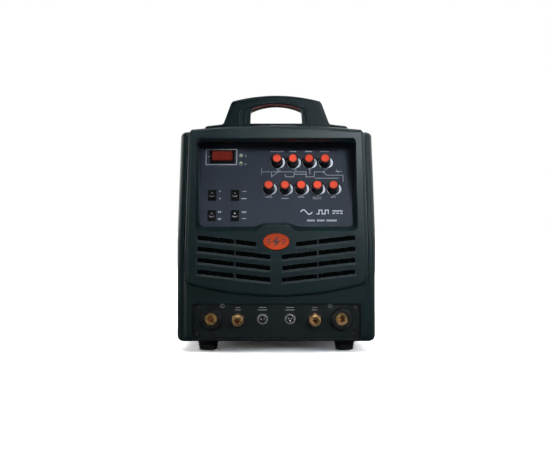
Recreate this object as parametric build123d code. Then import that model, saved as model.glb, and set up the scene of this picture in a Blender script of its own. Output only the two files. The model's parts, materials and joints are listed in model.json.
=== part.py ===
from build123d import *
import os
from math import cos, radians, sin

# A floor-standing inverter TIG welding machine, in millimetres.
# +Z is up, the front faces -Y, +X is the right-hand side seen from the front.
# The origin is on the floor, midway between the four feet.

# ---------------------------------------------------------------- driving dimensions
BODY_WIDTH = 385.0           # widest point of the casing, below the taper
TOP_WIDTH = 370.5            # casing width just under the top corners
BODY_BOTTOM = 20.7           # underside of the mouldings
BODY_TOP = 426.0             # top of the side pillars
TAPER_START = 217.0          # the sides are upright below this height
CORNER_RADIUS = 13.5         # corners of the casing seen from the front
EDGE_RADIUS = 11.0           # rounding along the top and bottom of the front edge
COLUMN_RADIUS = 21.0         # rounding of the side pillars, seen from above
WALL = 3.0                   # wall of the plastic mouldings
FRONT = -268.0               # face of the side pillars
SHIELD_FRONT = -277.0        # face of the raised central shield
SHIELD_EDGE = 7.0            # rounding of the shield's front edge
FASCIA_BACK = -192.0         # inner rim of each moulding, mirrored at the rear
CROWN_TOP = 437.4            # highest point of the arched crown
CROWN_END = 429.8            # crown height at its ends
CROWN_HALF = 163.0           # half width of the crown
SHIELD_HIP = 176.5           # half width of the shield low down
SMILE_LOW = 107.6            # lowest point of the curved lower edge of the shield
SMILE_END = 133.0            # height of that edge at its ends
GROOVE_WIDTH = 2.8           # shadow groove between shield and pillars
GROOVE_DEPTH = 6.0

PANEL_TILT = 20.0            # the control panel leans back
PANEL_FOOT_Z = 233.6         # height where the panel plane starts, level with the opening
PANEL_FOOT_Y = -267.0
PANEL_THICK = 2.0
OPENING_LOW_Z = 233.6        # control opening at the shield's face
OPENING_TOP_Z = 413.6
OPENING_HALF_LOW = 157.0
OPENING_HALF_TOP = 153.0
THROAT_LOW_Z = 243.3         # the same opening where its bevel ends
THROAT_TOP_Z = 407.5
THROAT_HALF_LOW = 149.5
THROAT_HALF_TOP = 152.3
BEVEL_DEPTH = 13.5
TUNNEL_WALL = 2.5

BADGE_Z = 214.1
BADGE_WIDE, BADGE_HIGH = 50.6, 31.8
BADGE_GAP = 2.1              # shadow gap between the badge and the edge of its seat
BADGE_SEAT = 1.8             # depth of that seat
BADGE_PROUD = 2.4            # the badge stands this far out of the shield

VENT_OUTER = 152.0           # outer end of every vent slot
VENT_INNER = [38.0, 11.3, 11.3, 11.3]
VENT_TOP = [226.6, 205.1, 183.6, 161.1]
VENT_HEIGHT = 7.5
VENT_SLOPE = 6.5             # slots fall towards the middle
VENT_LIP = 6.5               # the lower lip slopes outwards by this much
VENT_RIB_X, VENT_RIB_WIDE = 80.0, 2.6

CONNECTOR_Z = 63.8           # axis height of everything on the connector panel
CONNECTOR_TOP = 94.1
CONNECTOR_HALF = 163.2
CONNECTOR_Y = FRONT + 12.0   # face of the recessed connector panel
CONNECTOR_THICK = 2.5
CONNECTOR_EDGE = 0.9         # bevel round the mouth of the recess
CONNECTOR_LIP = 8.0          # the plate's lower edge is folded forwards by this much
PLATE_SCREW_X = 152.0
PLATE_SCREW_Z = [35.5, 85.5]
SOCKET_X = 126.7
SOCKET_BORE = 6.5            # takes the 13 mm spigot of a weld-cable plug
SOCKET_INSERT = 12.5         # outer radius of the brass insert
SOCKET_DEEP = 25.0           # length of the bore
COUPLING_X = 74.5
COUPLING_Z = 62.3
COUPLING_BORE = 4.6
COUPLING_BORE_DEEP = 16.0
COUPLING_BARREL = 10.4
COUPLING_REACH = 34.0        # the gas couplings stand this far out of their panel
REMOTE_X = 26.6
REMOTE_THREAD = 8.0          # radius over the thread
REMOTE_FLANGE = 10.9
REMOTE_BORE = 7.2

KNOB_PITCH = 31.5
LOWER_KNOBS = [-14.7 + KNOB_PITCH * i for i in range(5)]
UPPER_KNOBS = [1.3 + KNOB_PITCH * i for i in range(4)]
LOWER_KNOB_V = 88.0          # distances up the slope of the panel
UPPER_KNOB_V = 144.0
KNOB_FOOT = 11.5             # radius at the foot of a knob
KNOB_HEAD = 10.1
KNOB_SKIRT = 3.5             # height of the plain ring at the foot
KNOB_LIFT = 0.6              # gap between knob and panel
KNOB_HEIGHT = 20.0
KNOB_FLUTES = 24
CAP_RADIUS = 9.4
CAP_SEAT = 2.2               # the cap sits this deep in the knob
CAP_TALL = 5.0
SHAFT_RADIUS = 3.0
RUN_CLEARANCE = 0.05         # radial clearance of everything that turns or slides

DISPLAY_U, DISPLAY_V = -106.9, 156.3
WINDOW_WIDE, WINDOW_HIGH = 40.0, 19.5
WINDOW_RAISED = 2.3          # the window sits above the middle of its bezel
BEZEL_WIDE, BEZEL_HIGH, BEZEL_TALL = 48.4, 28.2, 1.4
DISPLAY_HOLE_WIDE, DISPLAY_HOLE_HIGH = 44.0, 26.0
LAMP_U = -69.8
LAMP_V = [159.7, 144.1]
LAMP_RADIUS = 2.5
ROCKER_U = [-125.2, -80.6]
ROCKER_V = [74.7, 32.3]
ROCKER_TILT = 8.0            # a rocker rests this far to one side
ROCKER_PIVOT = 1.2           # height of a rocker's pivot above the panel
ROCKER_WIDE = 10.8
PIN_RADIUS = 1.2
FRAME_WIDE, FRAME_HIGH, FRAME_LIP = 16.2, 22.8, 1.8
HOUSING_WIDE, HOUSING_HIGH, HOUSING_DEEP = 13.2, 19.0, 14.0
BOARD_BEHIND = 13.8          # the control board lies this far behind the panel

SHEET = 1.5                  # cover sheet
COVER_GAP = 0.4              # cover slides inside the mouldings with this gap
COVER_END = 206.0            # cover reaches this far each way
COVER_LOW = 38.0
COVER_SCREW_Y = [-150.0, 0.0, 150.0]
COVER_SCREW_Z = 50.0
LOUVRE_LONG, LOUVRE_HIGH = 86.0, 4.5
LOUVRE_ROWS, LOUVRE_PITCH, LOUVRE_LOW_Z, LOUVRE_Y = 9, 14.0, 86.0, 78.0
TRAY_Z = 24.0                # underside of the base tray
TRAY_SHEET = 2.0
TRAY_END = 240.0
FOOT_RADIUS = 20.0
FOOT_X, FOOT_Y = 134.4, 215.0
DECK_Z = 224.0               # shelf between wind tunnel and electronics
DECK_END = 195.0
SCREW_HOLE = 2.2             # clearance hole of the machine screws

REAR_PANEL_Y = 235.0         # outer face of the steel rear panel, deep in its moulding
REAR_PANEL_THICK = 1.5
REAR_HALF, REAR_LOW, REAR_TOP = 150.0, 48.0, 405.0
FAN_Z = 130.0
FAN_SIZE = 150.0
FAN_DEPTH = 38.0
FAN_BORE = 70.0
FAN_BLADES = 7
BREAKER_X, BREAKER_Z = -92.0, 325.0
BREAKER_HALF_WIDE, BREAKER_HALF_HIGH = 26.7, 38.7
BREAKER_DEEP = 60.0          # how far the breaker reaches in behind the rear panel
BREAKER_REST = 35.0          # the lever rests this far below level: off
CABLE_X, CABLE_Z = 92.0, 325.0
CABLE_RADIUS = 7.5
CABLE_BEND = 30.0
CABLE_END_Z = 120.0
INLET_X, INLET_Z = -118.0, 80.0
HOSE_TAIL = 5.0
STUD_X, STUD_Z = 118.0, 80.0

HANDLE_FRONT = -260.0        # front face of the front handle
HANDLE_DEPTH = 46.0
HANDLE_TOP = 497.0
REAR_HANDLE_DROP = 9.5        # the rear handle's arch is this much lower than the front one's
REAR_HOLE_DROP = 6.5          # and the top of its opening is this much lower
GRIP_HOLE_LOW = 442.5
GRIP_SHOULDER_Z = 467.0      # the arched top of the finger opening starts here
GRIP_PEAK_Z = 478.0
GRIP_THICK = 3.2             # soft pad over the fingers
GRIP_HALF = 46.0
STEP_GROW = 8.5              # stepped rim round the finger opening
STEP_DEEP = 6.0
LEG_GROOVE_X = 69.0          # shallow groove down each leg

PANEL = Plane(
    origin=(0, PANEL_FOOT_Y, PANEL_FOOT_Z),
    x_dir=(1, 0, 0),
    z_dir=(0, -cos(radians(PANEL_TILT)), sin(radians(PANEL_TILT))),
)
NODES = {}


# ---------------------------------------------------------------- small helpers
def slab(outline, y_front, y_back):
    """An outline drawn as (x, z), extruded between two y planes."""
    return extrude(Plane.XZ.offset(-y_back) * outline, amount=y_back - y_front, dir=(0, -1, 0))


def rounded_slab(outline, y_front, y_back, radius):
    """A slab whose front edge loop is rounded."""
    body = slab(outline, y_front, y_back)
    return fillet(body.faces().sort_by(Axis.Y)[0].edges(), radius)


def block(x0, x1, y0, y1, z0, z1):
    """A box between two corners."""
    return Pos((x0 + x1) / 2, (y0 + y1) / 2, (z0 + z1) / 2) * Box(x1 - x0, y1 - y0, z1 - z0)


def both_sides(points):
    """Closes a right-hand outline, listed from bottom to top, with its mirror image."""
    return points + [(-x, z) for x, z in reversed(points)]


def forward_rod(x, z, y_front, y_back, radius):
    """A cylinder along Y between two y planes."""
    return Pos(x, (y_front + y_back) / 2, z) * Rot(90, 0, 0) * Cylinder(radius, y_back - y_front)


def forward_hexagon(x, z, y_front, y_back, across_flats):
    """A hexagon bar along Y between two y planes."""
    outline = Pos(x, z) * RegularPolygon(across_flats / 2, 6, major_radius=False)
    return slab(outline, y_front, y_back)


def on_panel(u, v, shape):
    """Puts a shape drawn about its own +Z axis on the sloping control panel."""
    return PANEL * Pos(u, v, 0) * shape


def rod(z_low, z_high, radius):
    """A cylinder along its own Z axis."""
    return Pos(0, 0, (z_low + z_high) / 2) * Cylinder(radius, z_high - z_low)


def to_rear(shape):
    """The mirror image of a front piece, at the rear."""
    return mirror(shape, about=Plane.XZ)


def keep(name, *solids):
    """Records the separate solids that make up one named piece or group of like pieces."""
    pieces = []
    for solid in solids:
        pieces += list(solid.solids())
    NODES[name] = pieces


# ---------------------------------------------------------------- outlines seen from the front
def casing_outline(inset=0.0):
    """The casing's silhouette: upright sides that lean in towards the top."""
    low, top = BODY_WIDTH / 2, TOP_WIDTH / 2
    face = Polygon(*both_sides([(low, BODY_BOTTOM), (low, TAPER_START), (top, BODY_TOP)]), align=None)
    face = fillet(face.vertices().filter_by(lambda v: abs(v.Y - TAPER_START) > 50), CORNER_RADIUS)
    return offset(face, -inset) if inset else face


def shield_outline(grow=0.0):
    """The raised shield with its arched crown and its curved lower edge."""
    shoulder = (168.5, BODY_TOP - 3)
    hip = (SHIELD_HIP, 200.0)
    jaw = (SHIELD_HIP, SMILE_END)
    crown = (CROWN_HALF, CROWN_END)
    flip = [(-x, z) for x, z in (jaw, hip, shoulder, crown)]
    top = ThreePointArc(flip[3], (0, CROWN_TOP), crown)
    low = ThreePointArc(jaw, (0, SMILE_LOW), flip[0])
    right = Polyline(crown, shoulder, hip, jaw)
    left = Polyline(*flip)
    face = make_face([top, right, low, left])
    face = fillet(face.vertices().filter_by(lambda v: abs(v.Y - SMILE_END) < 1), 14)
    face = fillet(face.vertices().filter_by(lambda v: v.Y > BODY_TOP - 10), 3)
    return offset(face, grow) if grow else face


def opening_outline(low_z, top_z, half_low, half_top, hump_rise, hump_half):
    """The control opening: a tapered rectangle with a hump over the badge."""
    right = [(hump_half, low_z + hump_rise), (hump_half + 17, low_z), (half_low, low_z), (half_top, top_z)]
    face = Polygon(*both_sides(right), align=None)
    face = fillet(face.vertices().filter_by(lambda v: abs(v.X) < 100), 9)
    face = fillet(face.vertices().filter_by(lambda v: abs(v.X) > 100 and v.Y < 300), 12)
    return fillet(face.vertices().filter_by(lambda v: v.Y > 300), 8)


def opening_mouth():
    """The opening at the face of the shield."""
    return opening_outline(OPENING_LOW_Z, OPENING_TOP_Z, OPENING_HALF_LOW, OPENING_HALF_TOP, 12.0, 22.0)


def opening_throat():
    """The opening where its bevel ends."""
    return opening_outline(THROAT_LOW_Z, THROAT_TOP_Z, THROAT_HALF_LOW, THROAT_HALF_TOP, 7.0, 24.0)


def connector_outline(grow=0.0):
    """The recess round the sockets, open at the bottom."""
    half, top = CONNECTOR_HALF + grow, CONNECTOR_TOP + grow
    face = Polygon(*both_sides([(half, 0), (half, top)]), align=None)
    return fillet(face.vertices().filter_by(lambda v: v.Y > 50), 7 + grow)


# ---------------------------------------------------------------- the two end mouldings
def column_cutters(inset):
    """Takes the square corners off the side pillars, following the taper of the sides."""
    side = BODY_WIDTH / 2 - inset
    front = FRONT + inset
    radius = COLUMN_RADIUS - inset
    lean = (BODY_WIDTH - TOP_WIDTH) / 2 / (BODY_TOP - TAPER_START)
    square = Pos(radius / 2 + 2, -radius / 2 - 2) * Rectangle(radius + 4, radius + 4)
    corner = Pos(side - radius, front + radius) * (square - Circle(radius))
    low = extrude(corner, amount=TAPER_START, dir=(0, 0, 1))
    high = Pos(0, 0, TAPER_START) * extrude(corner, amount=BODY_TOP, dir=(-lean, 0, 1))
    right = [low, high]
    return right + [mirror(piece, about=Plane.YZ) for piece in right]


def casing_block(inset):
    """The base of a moulding as a solid, rounded at its front."""
    body = rounded_slab(casing_outline(inset), FRONT + inset, FASCIA_BACK + inset, EDGE_RADIUS - inset)
    for cutter in column_cutters(inset):
        body -= cutter
    return body


def moulding():
    """A moulding with no openings: hollow, open towards the middle of the machine."""
    outer = casing_block(0) + rounded_slab(shield_outline(), SHIELD_FRONT, FASCIA_BACK, SHIELD_EDGE)
    inner = casing_block(WALL) + rounded_slab(
        shield_outline(-WALL), SHIELD_FRONT + WALL, FASCIA_BACK - WALL, SHIELD_EDGE - WALL
    )
    groove = slab(shield_outline(GROOVE_WIDTH) - shield_outline(), FRONT - 1, FRONT + GROOVE_DEPTH)
    groove &= block(-200, 200, FRONT - 2, FRONT + 20, SMILE_END + 22, BODY_TOP + 20)
    backing = slab(
        shield_outline(GROOVE_WIDTH + WALL) - shield_outline(-WALL), FRONT + WALL, FRONT + GROOVE_DEPTH + WALL
    )
    backing &= casing_block(WALL / 2)
    backing &= block(-200, 200, FRONT, 0, SMILE_END + 19, BODY_TOP + 20)
    return outer - inner + backing - groove


def control_tunnel():
    """Walls from the control opening back to the leaning panel, and the two cuts that open them."""
    mouth, throat = opening_mouth(), opening_throat()
    walls = slab(offset(mouth, TUNNEL_WALL), SHIELD_FRONT + 1, FASCIA_BACK)
    walls &= PANEL * Pos(0, 100, 150) * Box(400, 500, 300)
    passage = slab(throat, SHIELD_FRONT + 1, FASCIA_BACK + 5)
    at_mouth = Plane.XZ.offset(-SHIELD_FRONT) * mouth
    at_throat = Plane.XZ.offset(-SHIELD_FRONT - BEVEL_DEPTH) * throat
    return walls, [passage, loft([at_mouth, at_throat], ruled=True)]


def vent_cutters():
    """Slanting slots on both sides of the shield, each with a sloping lower lip."""
    cutters = []
    y0, y1 = SHIELD_FRONT - 1, SHIELD_FRONT + WALL + 1
    for top, inner in zip(VENT_TOP, VENT_INNER):
        profile = Polygon((y0, 0), (y1, 0), (y1, -VENT_HEIGHT), (y0, -VENT_HEIGHT - VENT_LIP), align=None)
        bar = extrude(Plane.YZ * profile, amount=170, dir=(1, 0, 0))
        bar = Pos(-VENT_OUTER - 2, 0, top) * Rot(0, VENT_SLOPE, 0) * bar
        bounds = block(-VENT_OUTER, -VENT_RIB_X - VENT_RIB_WIDE / 2, y0 - 1, y1 + 1, 100, 250)
        bounds += block(-VENT_RIB_X + VENT_RIB_WIDE / 2, -inner, y0 - 1, y1 + 1, 100, 250)
        left = bar & bounds
        cutters += [left, mirror(left, about=Plane.YZ)]
    return cutters


def front_fascia():
    """The front moulding, with the control opening, vents, badge seat and socket recess."""
    walls, cuts = control_tunnel()
    body = moulding() + walls
    for cutter in cuts + vent_cutters():
        body -= cutter
    badge_seat = Pos(0, BADGE_Z) * Ellipse(BADGE_WIDE / 2 + BADGE_GAP, BADGE_HIGH / 2 + BADGE_GAP)
    body -= slab(badge_seat, SHIELD_FRONT - 1, SHIELD_FRONT + BADGE_SEAT)
    recess_walls = slab(connector_outline(WALL), FRONT + 1, CONNECTOR_Y) & casing_block(0)
    body = body + recess_walls - slab(connector_outline(), SHIELD_FRONT - 5, CONNECTOR_Y)
    outside = Plane.XZ.offset(-FRONT + 1) * connector_outline(CONNECTOR_EDGE + 1)
    inside = Plane.XZ.offset(-FRONT - CONNECTOR_EDGE) * connector_outline()
    keep("front_fascia", body - loft([outside, inside], ruled=True))


def badge():
    """A domed oval badge sitting in its shallow seat."""
    outline = Pos(0, BADGE_Z) * Ellipse(BADGE_WIDE / 2, BADGE_HIGH / 2)
    plate = slab(outline, SHIELD_FRONT - BADGE_PROUD, SHIELD_FRONT + BADGE_SEAT)
    keep("badge", fillet(plate.faces().sort_by(Axis.Y)[0].edges(), 1.6))


def rear_fascia():
    """The rear moulding: a frame round the steel rear panel."""
    body = moulding()
    opening = Rectangle(2 * REAR_HALF, REAR_TOP - REAR_LOW)
    opening = Pos(0, (REAR_TOP + REAR_LOW) / 2) * fillet(opening.vertices(), 10)
    panel_face = -REAR_PANEL_Y
    walls = slab(offset(opening, WALL), FRONT + 1, panel_face) & (casing_block(0) + slab(
        shield_outline(), SHIELD_FRONT + WALL, FASCIA_BACK))
    body = body + walls - slab(opening, SHIELD_FRONT - 5, panel_face)
    keep("rear_fascia", to_rear(body))


# ---------------------------------------------------------------- handles
def handle_outline(drop):
    """The arch of a handle with its spreading foot."""
    shoulder_z = 481.5 - drop
    right = [(138.0, 425.0), (138.0, 434.5), (134.0, 438.0), (103.0, 441.5), (88.0, shoulder_z),
             (84.0, shoulder_z + 4.5)]
    left = [(-x, z) for x, z in reversed(right)]
    top = ThreePointArc(right[-1], (0, HANDLE_TOP - drop), left[0])
    face = make_face([Polyline(*left, *right, ), top])
    face = fillet(face.vertices().filter_by(lambda v: 440 < v.Y < 445), 6)
    return fillet(face.vertices().filter_by(lambda v: abs(v.Y - shoulder_z) < 2), 9)


def grip_hole_outline(grow=0.0, raise_top=0.0):
    """The finger opening of a handle, with an arched top."""
    top_half, low_half = 49.0 + grow, 50.7 + grow
    shoulder, peak = GRIP_SHOULDER_Z + raise_top, GRIP_PEAK_Z + raise_top
    top = ThreePointArc((top_half, shoulder), (0, peak), (-top_half, shoulder))
    sides = Polyline((-top_half, shoulder), (-low_half, GRIP_HOLE_LOW), (low_half, GRIP_HOLE_LOW),
                     (top_half, shoulder))
    face = make_face([sides, top])
    face = fillet(face.vertices().filter_by(lambda v: v.Y > GRIP_HOLE_LOW + 5), 5)
    return fillet(face.vertices().filter_by(lambda v: v.Y < GRIP_HOLE_LOW + 5), 3)


def handle(drop=0.0, hole_drop=0.0):
    """A moulded arch handle that sits on the crown, with a stepped rim round its opening."""
    y0, y1 = HANDLE_FRONT, HANDLE_FRONT + HANDLE_DEPTH
    body = slab(handle_outline(drop), y0, y1)
    outer_edges = body.faces().sort_by(Axis.Y)[0].edges() + body.faces().sort_by(Axis.Y)[-1].edges()
    body = fillet(outer_edges.filter_by(lambda e: e.center().Z > 442), 5)
    body -= slab(grip_hole_outline(raise_top=-hole_drop), y0 - 1, y1 + 1)
    step = grip_hole_outline(grow=STEP_GROW, raise_top=GRIP_THICK + 1.6 - hole_drop)
    body -= slab(step, y0 - 1, y0 + STEP_DEEP)
    body -= slab(step, y1 - STEP_DEEP, y1 + 1)
    for side in (-1, 1):
        x = side * LEG_GROOVE_X
        groove_top = GRIP_SHOULDER_Z - hole_drop
        body -= block(x - 1.5, x + 1.5, y0 - 1, y0 + 1.5, GRIP_HOLE_LOW - 4, groove_top)
        body -= block(x - 1.5, x + 1.5, y1 - 1.5, y1 + 1, GRIP_HOLE_LOW - 4, groove_top)
    body -= slab(shield_outline(), SHIELD_FRONT, FASCIA_BACK)
    body -= casing_block(0)
    return body


def grip_pad(hole_drop=0.0):
    """The soft pad on the underside of the handle's bar, where the fingers go."""
    upper = grip_hole_outline(raise_top=GRIP_THICK - hole_drop) - grip_hole_outline(raise_top=-hole_drop)
    upper &= Pos(0, GRIP_PEAK_Z - hole_drop) * Rectangle(2 * GRIP_HALF, 40)
    return slab(upper, HANDLE_FRONT + STEP_DEEP, HANDLE_FRONT + HANDLE_DEPTH - STEP_DEEP)


def handles():
    pad = grip_pad()
    rear_pad = to_rear(grip_pad(REAR_HOLE_DROP))
    keep("front_handle", handle() - pad)
    keep("rear_handle", to_rear(handle(REAR_HANDLE_DROP, REAR_HOLE_DROP)) - rear_pad)
    keep("handle_grips", pad, rear_pad)


# ---------------------------------------------------------------- control panel
def knob_places():
    """Where the nine knobs stand on the panel, lower row first."""
    lower = [(u, LOWER_KNOB_V) for u in LOWER_KNOBS]
    return lower + [(u, UPPER_KNOB_V) for u in UPPER_KNOBS]


def rocker_places():
    return [(u, v) for v in ROCKER_V for u in ROCKER_U]


def control_panel():
    """The steel plate that carries the controls, with a hole for each of them."""
    slope = cos(radians(PANEL_TILT))
    v_low = 3.0
    v_top = (OPENING_TOP_Z + 4.5 - PANEL_FOOT_Z) / slope
    plate = Pos(0, (v_low + v_top) / 2) * Rectangle(2 * OPENING_HALF_LOW + 12, v_top - v_low)
    plate = fillet(plate.vertices(), 6)
    for u, v in knob_places():
        plate -= Pos(u, v) * Circle(4.0)
    for u, v in rocker_places():
        plate -= Pos(u, v) * Rectangle(HOUSING_WIDE + 0.4, HOUSING_HIGH + 0.4)
    for v in LAMP_V:
        plate -= Pos(LAMP_U, v) * Circle(LAMP_RADIUS + 0.1)
    plate -= Pos(DISPLAY_U, DISPLAY_V) * Rectangle(DISPLAY_HOLE_WIDE + 0.4, DISPLAY_HOLE_HIGH + 0.4)
    keep("control_panel", PANEL * extrude(plate, amount=-PANEL_THICK))


def knob_body():
    """A tapered knob with fine grip flutes, a blind hole for its shaft and a seat for its cap."""
    top = KNOB_LIFT + KNOB_HEIGHT
    skirt = KNOB_LIFT + KNOB_SKIRT
    profile = Polyline((0, KNOB_LIFT), (KNOB_FOOT, KNOB_LIFT), (KNOB_FOOT, skirt),
                       (KNOB_FOOT - 0.9, skirt + 1), (KNOB_HEAD, top), (0, top), close=True)
    body = revolve(Plane.XZ * make_face(profile), Axis.Z)
    body = fillet(body.edges().filter_by(GeomType.CIRCLE).sort_by(Axis.Z)[-1], 0.4)
    flute = Pos(KNOB_FOOT + 0.1, 0, 14.5) * Rot(0, -3.0, 0) * Cylinder(0.8, 20)
    for i in range(KNOB_FLUTES):
        body -= Rot(0, 0, 360 / KNOB_FLUTES * i) * flute
    body -= rod(top - CAP_SEAT, top + 1, CAP_RADIUS)
    return body - rod(0, top - 5, SHAFT_RADIUS)


def knob_cap():
    """The coloured cap pressed into a knob, with a well-rounded edge."""
    low = KNOB_LIFT + KNOB_HEIGHT - CAP_SEAT
    cap = rod(low, low + CAP_TALL, CAP_RADIUS)
    return fillet(cap.edges().sort_by(Axis.Z)[-1], 2.2)


def knobs():
    body, cap = knob_body(), knob_cap()
    shaft = rod(-9.0, KNOB_LIFT + KNOB_HEIGHT - 5, SHAFT_RADIUS)
    cans = []
    for number, (u, v) in enumerate(knob_places(), 1):
        keep(f"knob_{number}", on_panel(u, v, body), on_panel(u, v, shaft))
        keep(f"knob_cap_{number}", on_panel(u, v, cap))
        can = rod(-13.0, -PANEL_THICK, 8.2) + rod(-PANEL_THICK, -0.2, 3.9)
        cans.append(on_panel(u, v, can - rod(-10.0, 1, SHAFT_RADIUS + RUN_CLEARANCE)))
    keep("potentiometers", *cans)


def display():
    """The red window and the digit module behind it, in a bezel that is deeper below the window."""
    window = Pos(0, WINDOW_RAISED, -0.8) * Box(WINDOW_WIDE, WINDOW_HIGH, 3.4)
    keep("display_window", on_panel(DISPLAY_U, DISPLAY_V, window))
    bezel = Pos(0, 0, BEZEL_TALL / 2) * Box(BEZEL_WIDE, BEZEL_HIGH, BEZEL_TALL)
    bezel = chamfer(bezel.faces().sort_by(Axis.Z)[-1].edges(), 0.6)
    module = bezel + Pos(0, 0, -6) * Box(DISPLAY_HOLE_WIDE, DISPLAY_HOLE_HIGH, 12)
    module -= Pos(0, WINDOW_RAISED, -0.5) * Box(WINDOW_WIDE, WINDOW_HIGH, 4.0)
    keep("display_module", on_panel(DISPLAY_U, DISPLAY_V, module))


def indicator_lamps():
    lamps = []
    for v in LAMP_V:
        lamp = rod(-6.0, 0.8, LAMP_RADIUS) + Pos(0, 0, 0.8) * Sphere(LAMP_RADIUS)
        lamps.append(on_panel(LAMP_U, v, lamp + rod(-6.0, -PANEL_THICK, LAMP_RADIUS + 0.5)))
    keep("indicator_lamps", *lamps)


def rocker_frame():
    """A switch housing: lip on the panel, box behind it, and sockets for the rocker's pins."""
    lip = Pos(0, 0, FRAME_LIP / 2) * Box(FRAME_WIDE, FRAME_HIGH, FRAME_LIP)
    lip = chamfer(lip.faces().sort_by(Axis.Z)[-1].edges(), 0.6)
    body = lip + Pos(0, 0, -HOUSING_DEEP / 2) * Box(HOUSING_WIDE, HOUSING_HIGH, HOUSING_DEEP)
    body -= Pos(0, 0, 0.5) * Box(ROCKER_WIDE + 0.5, 18.0, 11.0)
    socket = Pos(0, 0, ROCKER_PIVOT) * Rot(0, 90, 0) * Cylinder(PIN_RADIUS + RUN_CLEARANCE, ROCKER_WIDE + 2.8)
    return body - socket


def rocker():
    """A switch rocker with two sloping faces and a pin at each side, tilted to its rest position."""
    outline = Polygon((-8.3, -2.6), (8.3, -2.6), (8.3, 3.0), (0, 1.6), (-8.3, 3.0), align=None)
    outline = fillet(outline.vertices(), 0.8)
    body = extrude(Plane.YZ * outline, amount=ROCKER_WIDE / 2, both=True)
    body += Rot(0, 90, 0) * Cylinder(PIN_RADIUS, ROCKER_WIDE + 2.4)
    return Pos(0, 0, ROCKER_PIVOT) * Rot(-ROCKER_TILT, 0, 0) * body


def rockers():
    frame, lever = rocker_frame(), rocker()
    keep("rocker_frames", *[on_panel(u, v, frame) for u, v in rocker_places()])
    for number, (u, v) in enumerate(rocker_places(), 1):
        keep(f"rocker_{number}", on_panel(u, v, lever))


def control_board():
    """The circuit board behind the panel that the potentiometers are soldered to."""
    board = Pos(12, 102, -BOARD_BEHIND) * Box(270, 140, 1.6)
    for u, v in rocker_places():
        board -= Pos(u, v, -BOARD_BEHIND) * Box(17, 23, 4)
    keep("control_board", PANEL * board)


# ---------------------------------------------------------------- connector panel
def connector_panel():
    """The recessed plate at the bottom of the front, drilled for its sockets, with a folded lip."""
    outline = connector_outline(7.0) & Pos(0, 120) * Rectangle(400, 191)
    y0, y1 = CONNECTOR_Y, CONNECTOR_Y + CONNECTOR_THICK
    plate = slab(outline, y0, y1)
    half = CONNECTOR_HALF - 0.4
    plate += block(-half, half, y0 - CONNECTOR_LIP, y1, 24.0, 25.6)
    for side in (-1, 1):
        plate -= forward_rod(side * SOCKET_X, CONNECTOR_Z, y0 - 1, y1 + 1, 16.2)
        plate -= forward_rod(side * COUPLING_X, COUPLING_Z, y0 - 1, y1 + 1, 7.1)
        plate -= forward_rod(side * REMOTE_X, CONNECTOR_Z, y0 - 1, y1 + 1, REMOTE_THREAD + 0.1)
        for z in PLATE_SCREW_Z:
            plate -= forward_rod(side * PLATE_SCREW_X, z, y0 - 1, y1 + 1, SCREW_HOLE)
    keep("connector_panel", plate)


def output_sockets():
    """Bayonet sockets for the weld cables: black insulating body, brass insert with a keyway."""
    bodies, inserts = [], []
    bore = SOCKET_INSERT + 1.3
    for side in (-1, 1):
        x, z, y = side * SOCKET_X, CONNECTOR_Z, CONNECTOR_Y
        flange = forward_rod(x, z, y - 4.0, y, 22.0)
        flange = chamfer(flange.faces().sort_by(Axis.Y)[0].edges(), 1.2)
        collar = forward_rod(x, z, y - 13.0, y - 4.0, 20.5)
        collar = fillet(collar.faces().sort_by(Axis.Y)[0].edges(), 1.6)
        body = flange + collar + forward_rod(x, z, y, y + 22, 16.0)
        body -= forward_rod(x, z, y - 14.0, y + 4, bore)
        body -= forward_rod(x, z, y, y + 30, SOCKET_INSERT)
        bodies.append(body)
        insert = forward_rod(x, z, y - 9.0, y + 30, SOCKET_INSERT)
        insert = chamfer(insert.faces().sort_by(Axis.Y)[0].edges(), 0.8)
        insert -= forward_rod(x, z, y - 10.0, y - 9.0 + SOCKET_DEEP, SOCKET_BORE)
        keyway = Pos(x, z + SOCKET_BORE) * Rectangle(4.2, 4.4)
        inserts.append(insert - slab(keyway, y - 10, y - 9.0 + SOCKET_DEEP))
    keep("output_socket_bodies", *bodies)
    keep("output_socket_inserts", *inserts)


def coupling(x, z, y, reach):
    """A brass quick coupling that points forwards: hexagon, barrel with a groove, and a bore."""
    hexagon = Pos(x, z) * Rot(0, 0, 30) * RegularPolygon(11.0, 6, major_radius=False)
    body = slab(hexagon, y - 8.0, y) + forward_rod(x, z, y - 6.0, y + 14, 7.0)
    barrel = forward_rod(x, z, y - reach, y - 6.0, COUPLING_BARREL)
    body += chamfer(barrel.faces().sort_by(Axis.Y)[0].edges(), 1.4)
    body -= forward_rod(x, z, y - 14.0, y - 11.0, 12.0) - forward_rod(x, z, y - 15.0, y - 10.0, 8.8)
    return body - forward_rod(x, z, y - reach - 1, y - reach + COUPLING_BORE_DEEP, COUPLING_BORE)


def gas_fittings():
    """Two couplings on the front, and the hose tail of the gas inlet at the rear."""
    front = [coupling(side * COUPLING_X, COUPLING_Z, CONNECTOR_Y, COUPLING_REACH) for side in (-1, 1)]
    y = REAR_PANEL_Y
    tail = forward_rod(INLET_X, INLET_Z, y + 7, y + 32, HOSE_TAIL)
    inlet = chamfer(tail.faces().sort_by(Axis.Y)[-1].edges(), 1.0)
    inlet += forward_hexagon(INLET_X, INLET_Z, y, y + 7, 17.0) + forward_rod(INLET_X, INLET_Z, y - 22, y, 6.0)
    inlet -= forward_rod(INLET_X, INLET_Z, y - 30, y + 40, 3.0)
    keep("gas_fittings", *front, inlet)


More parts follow.
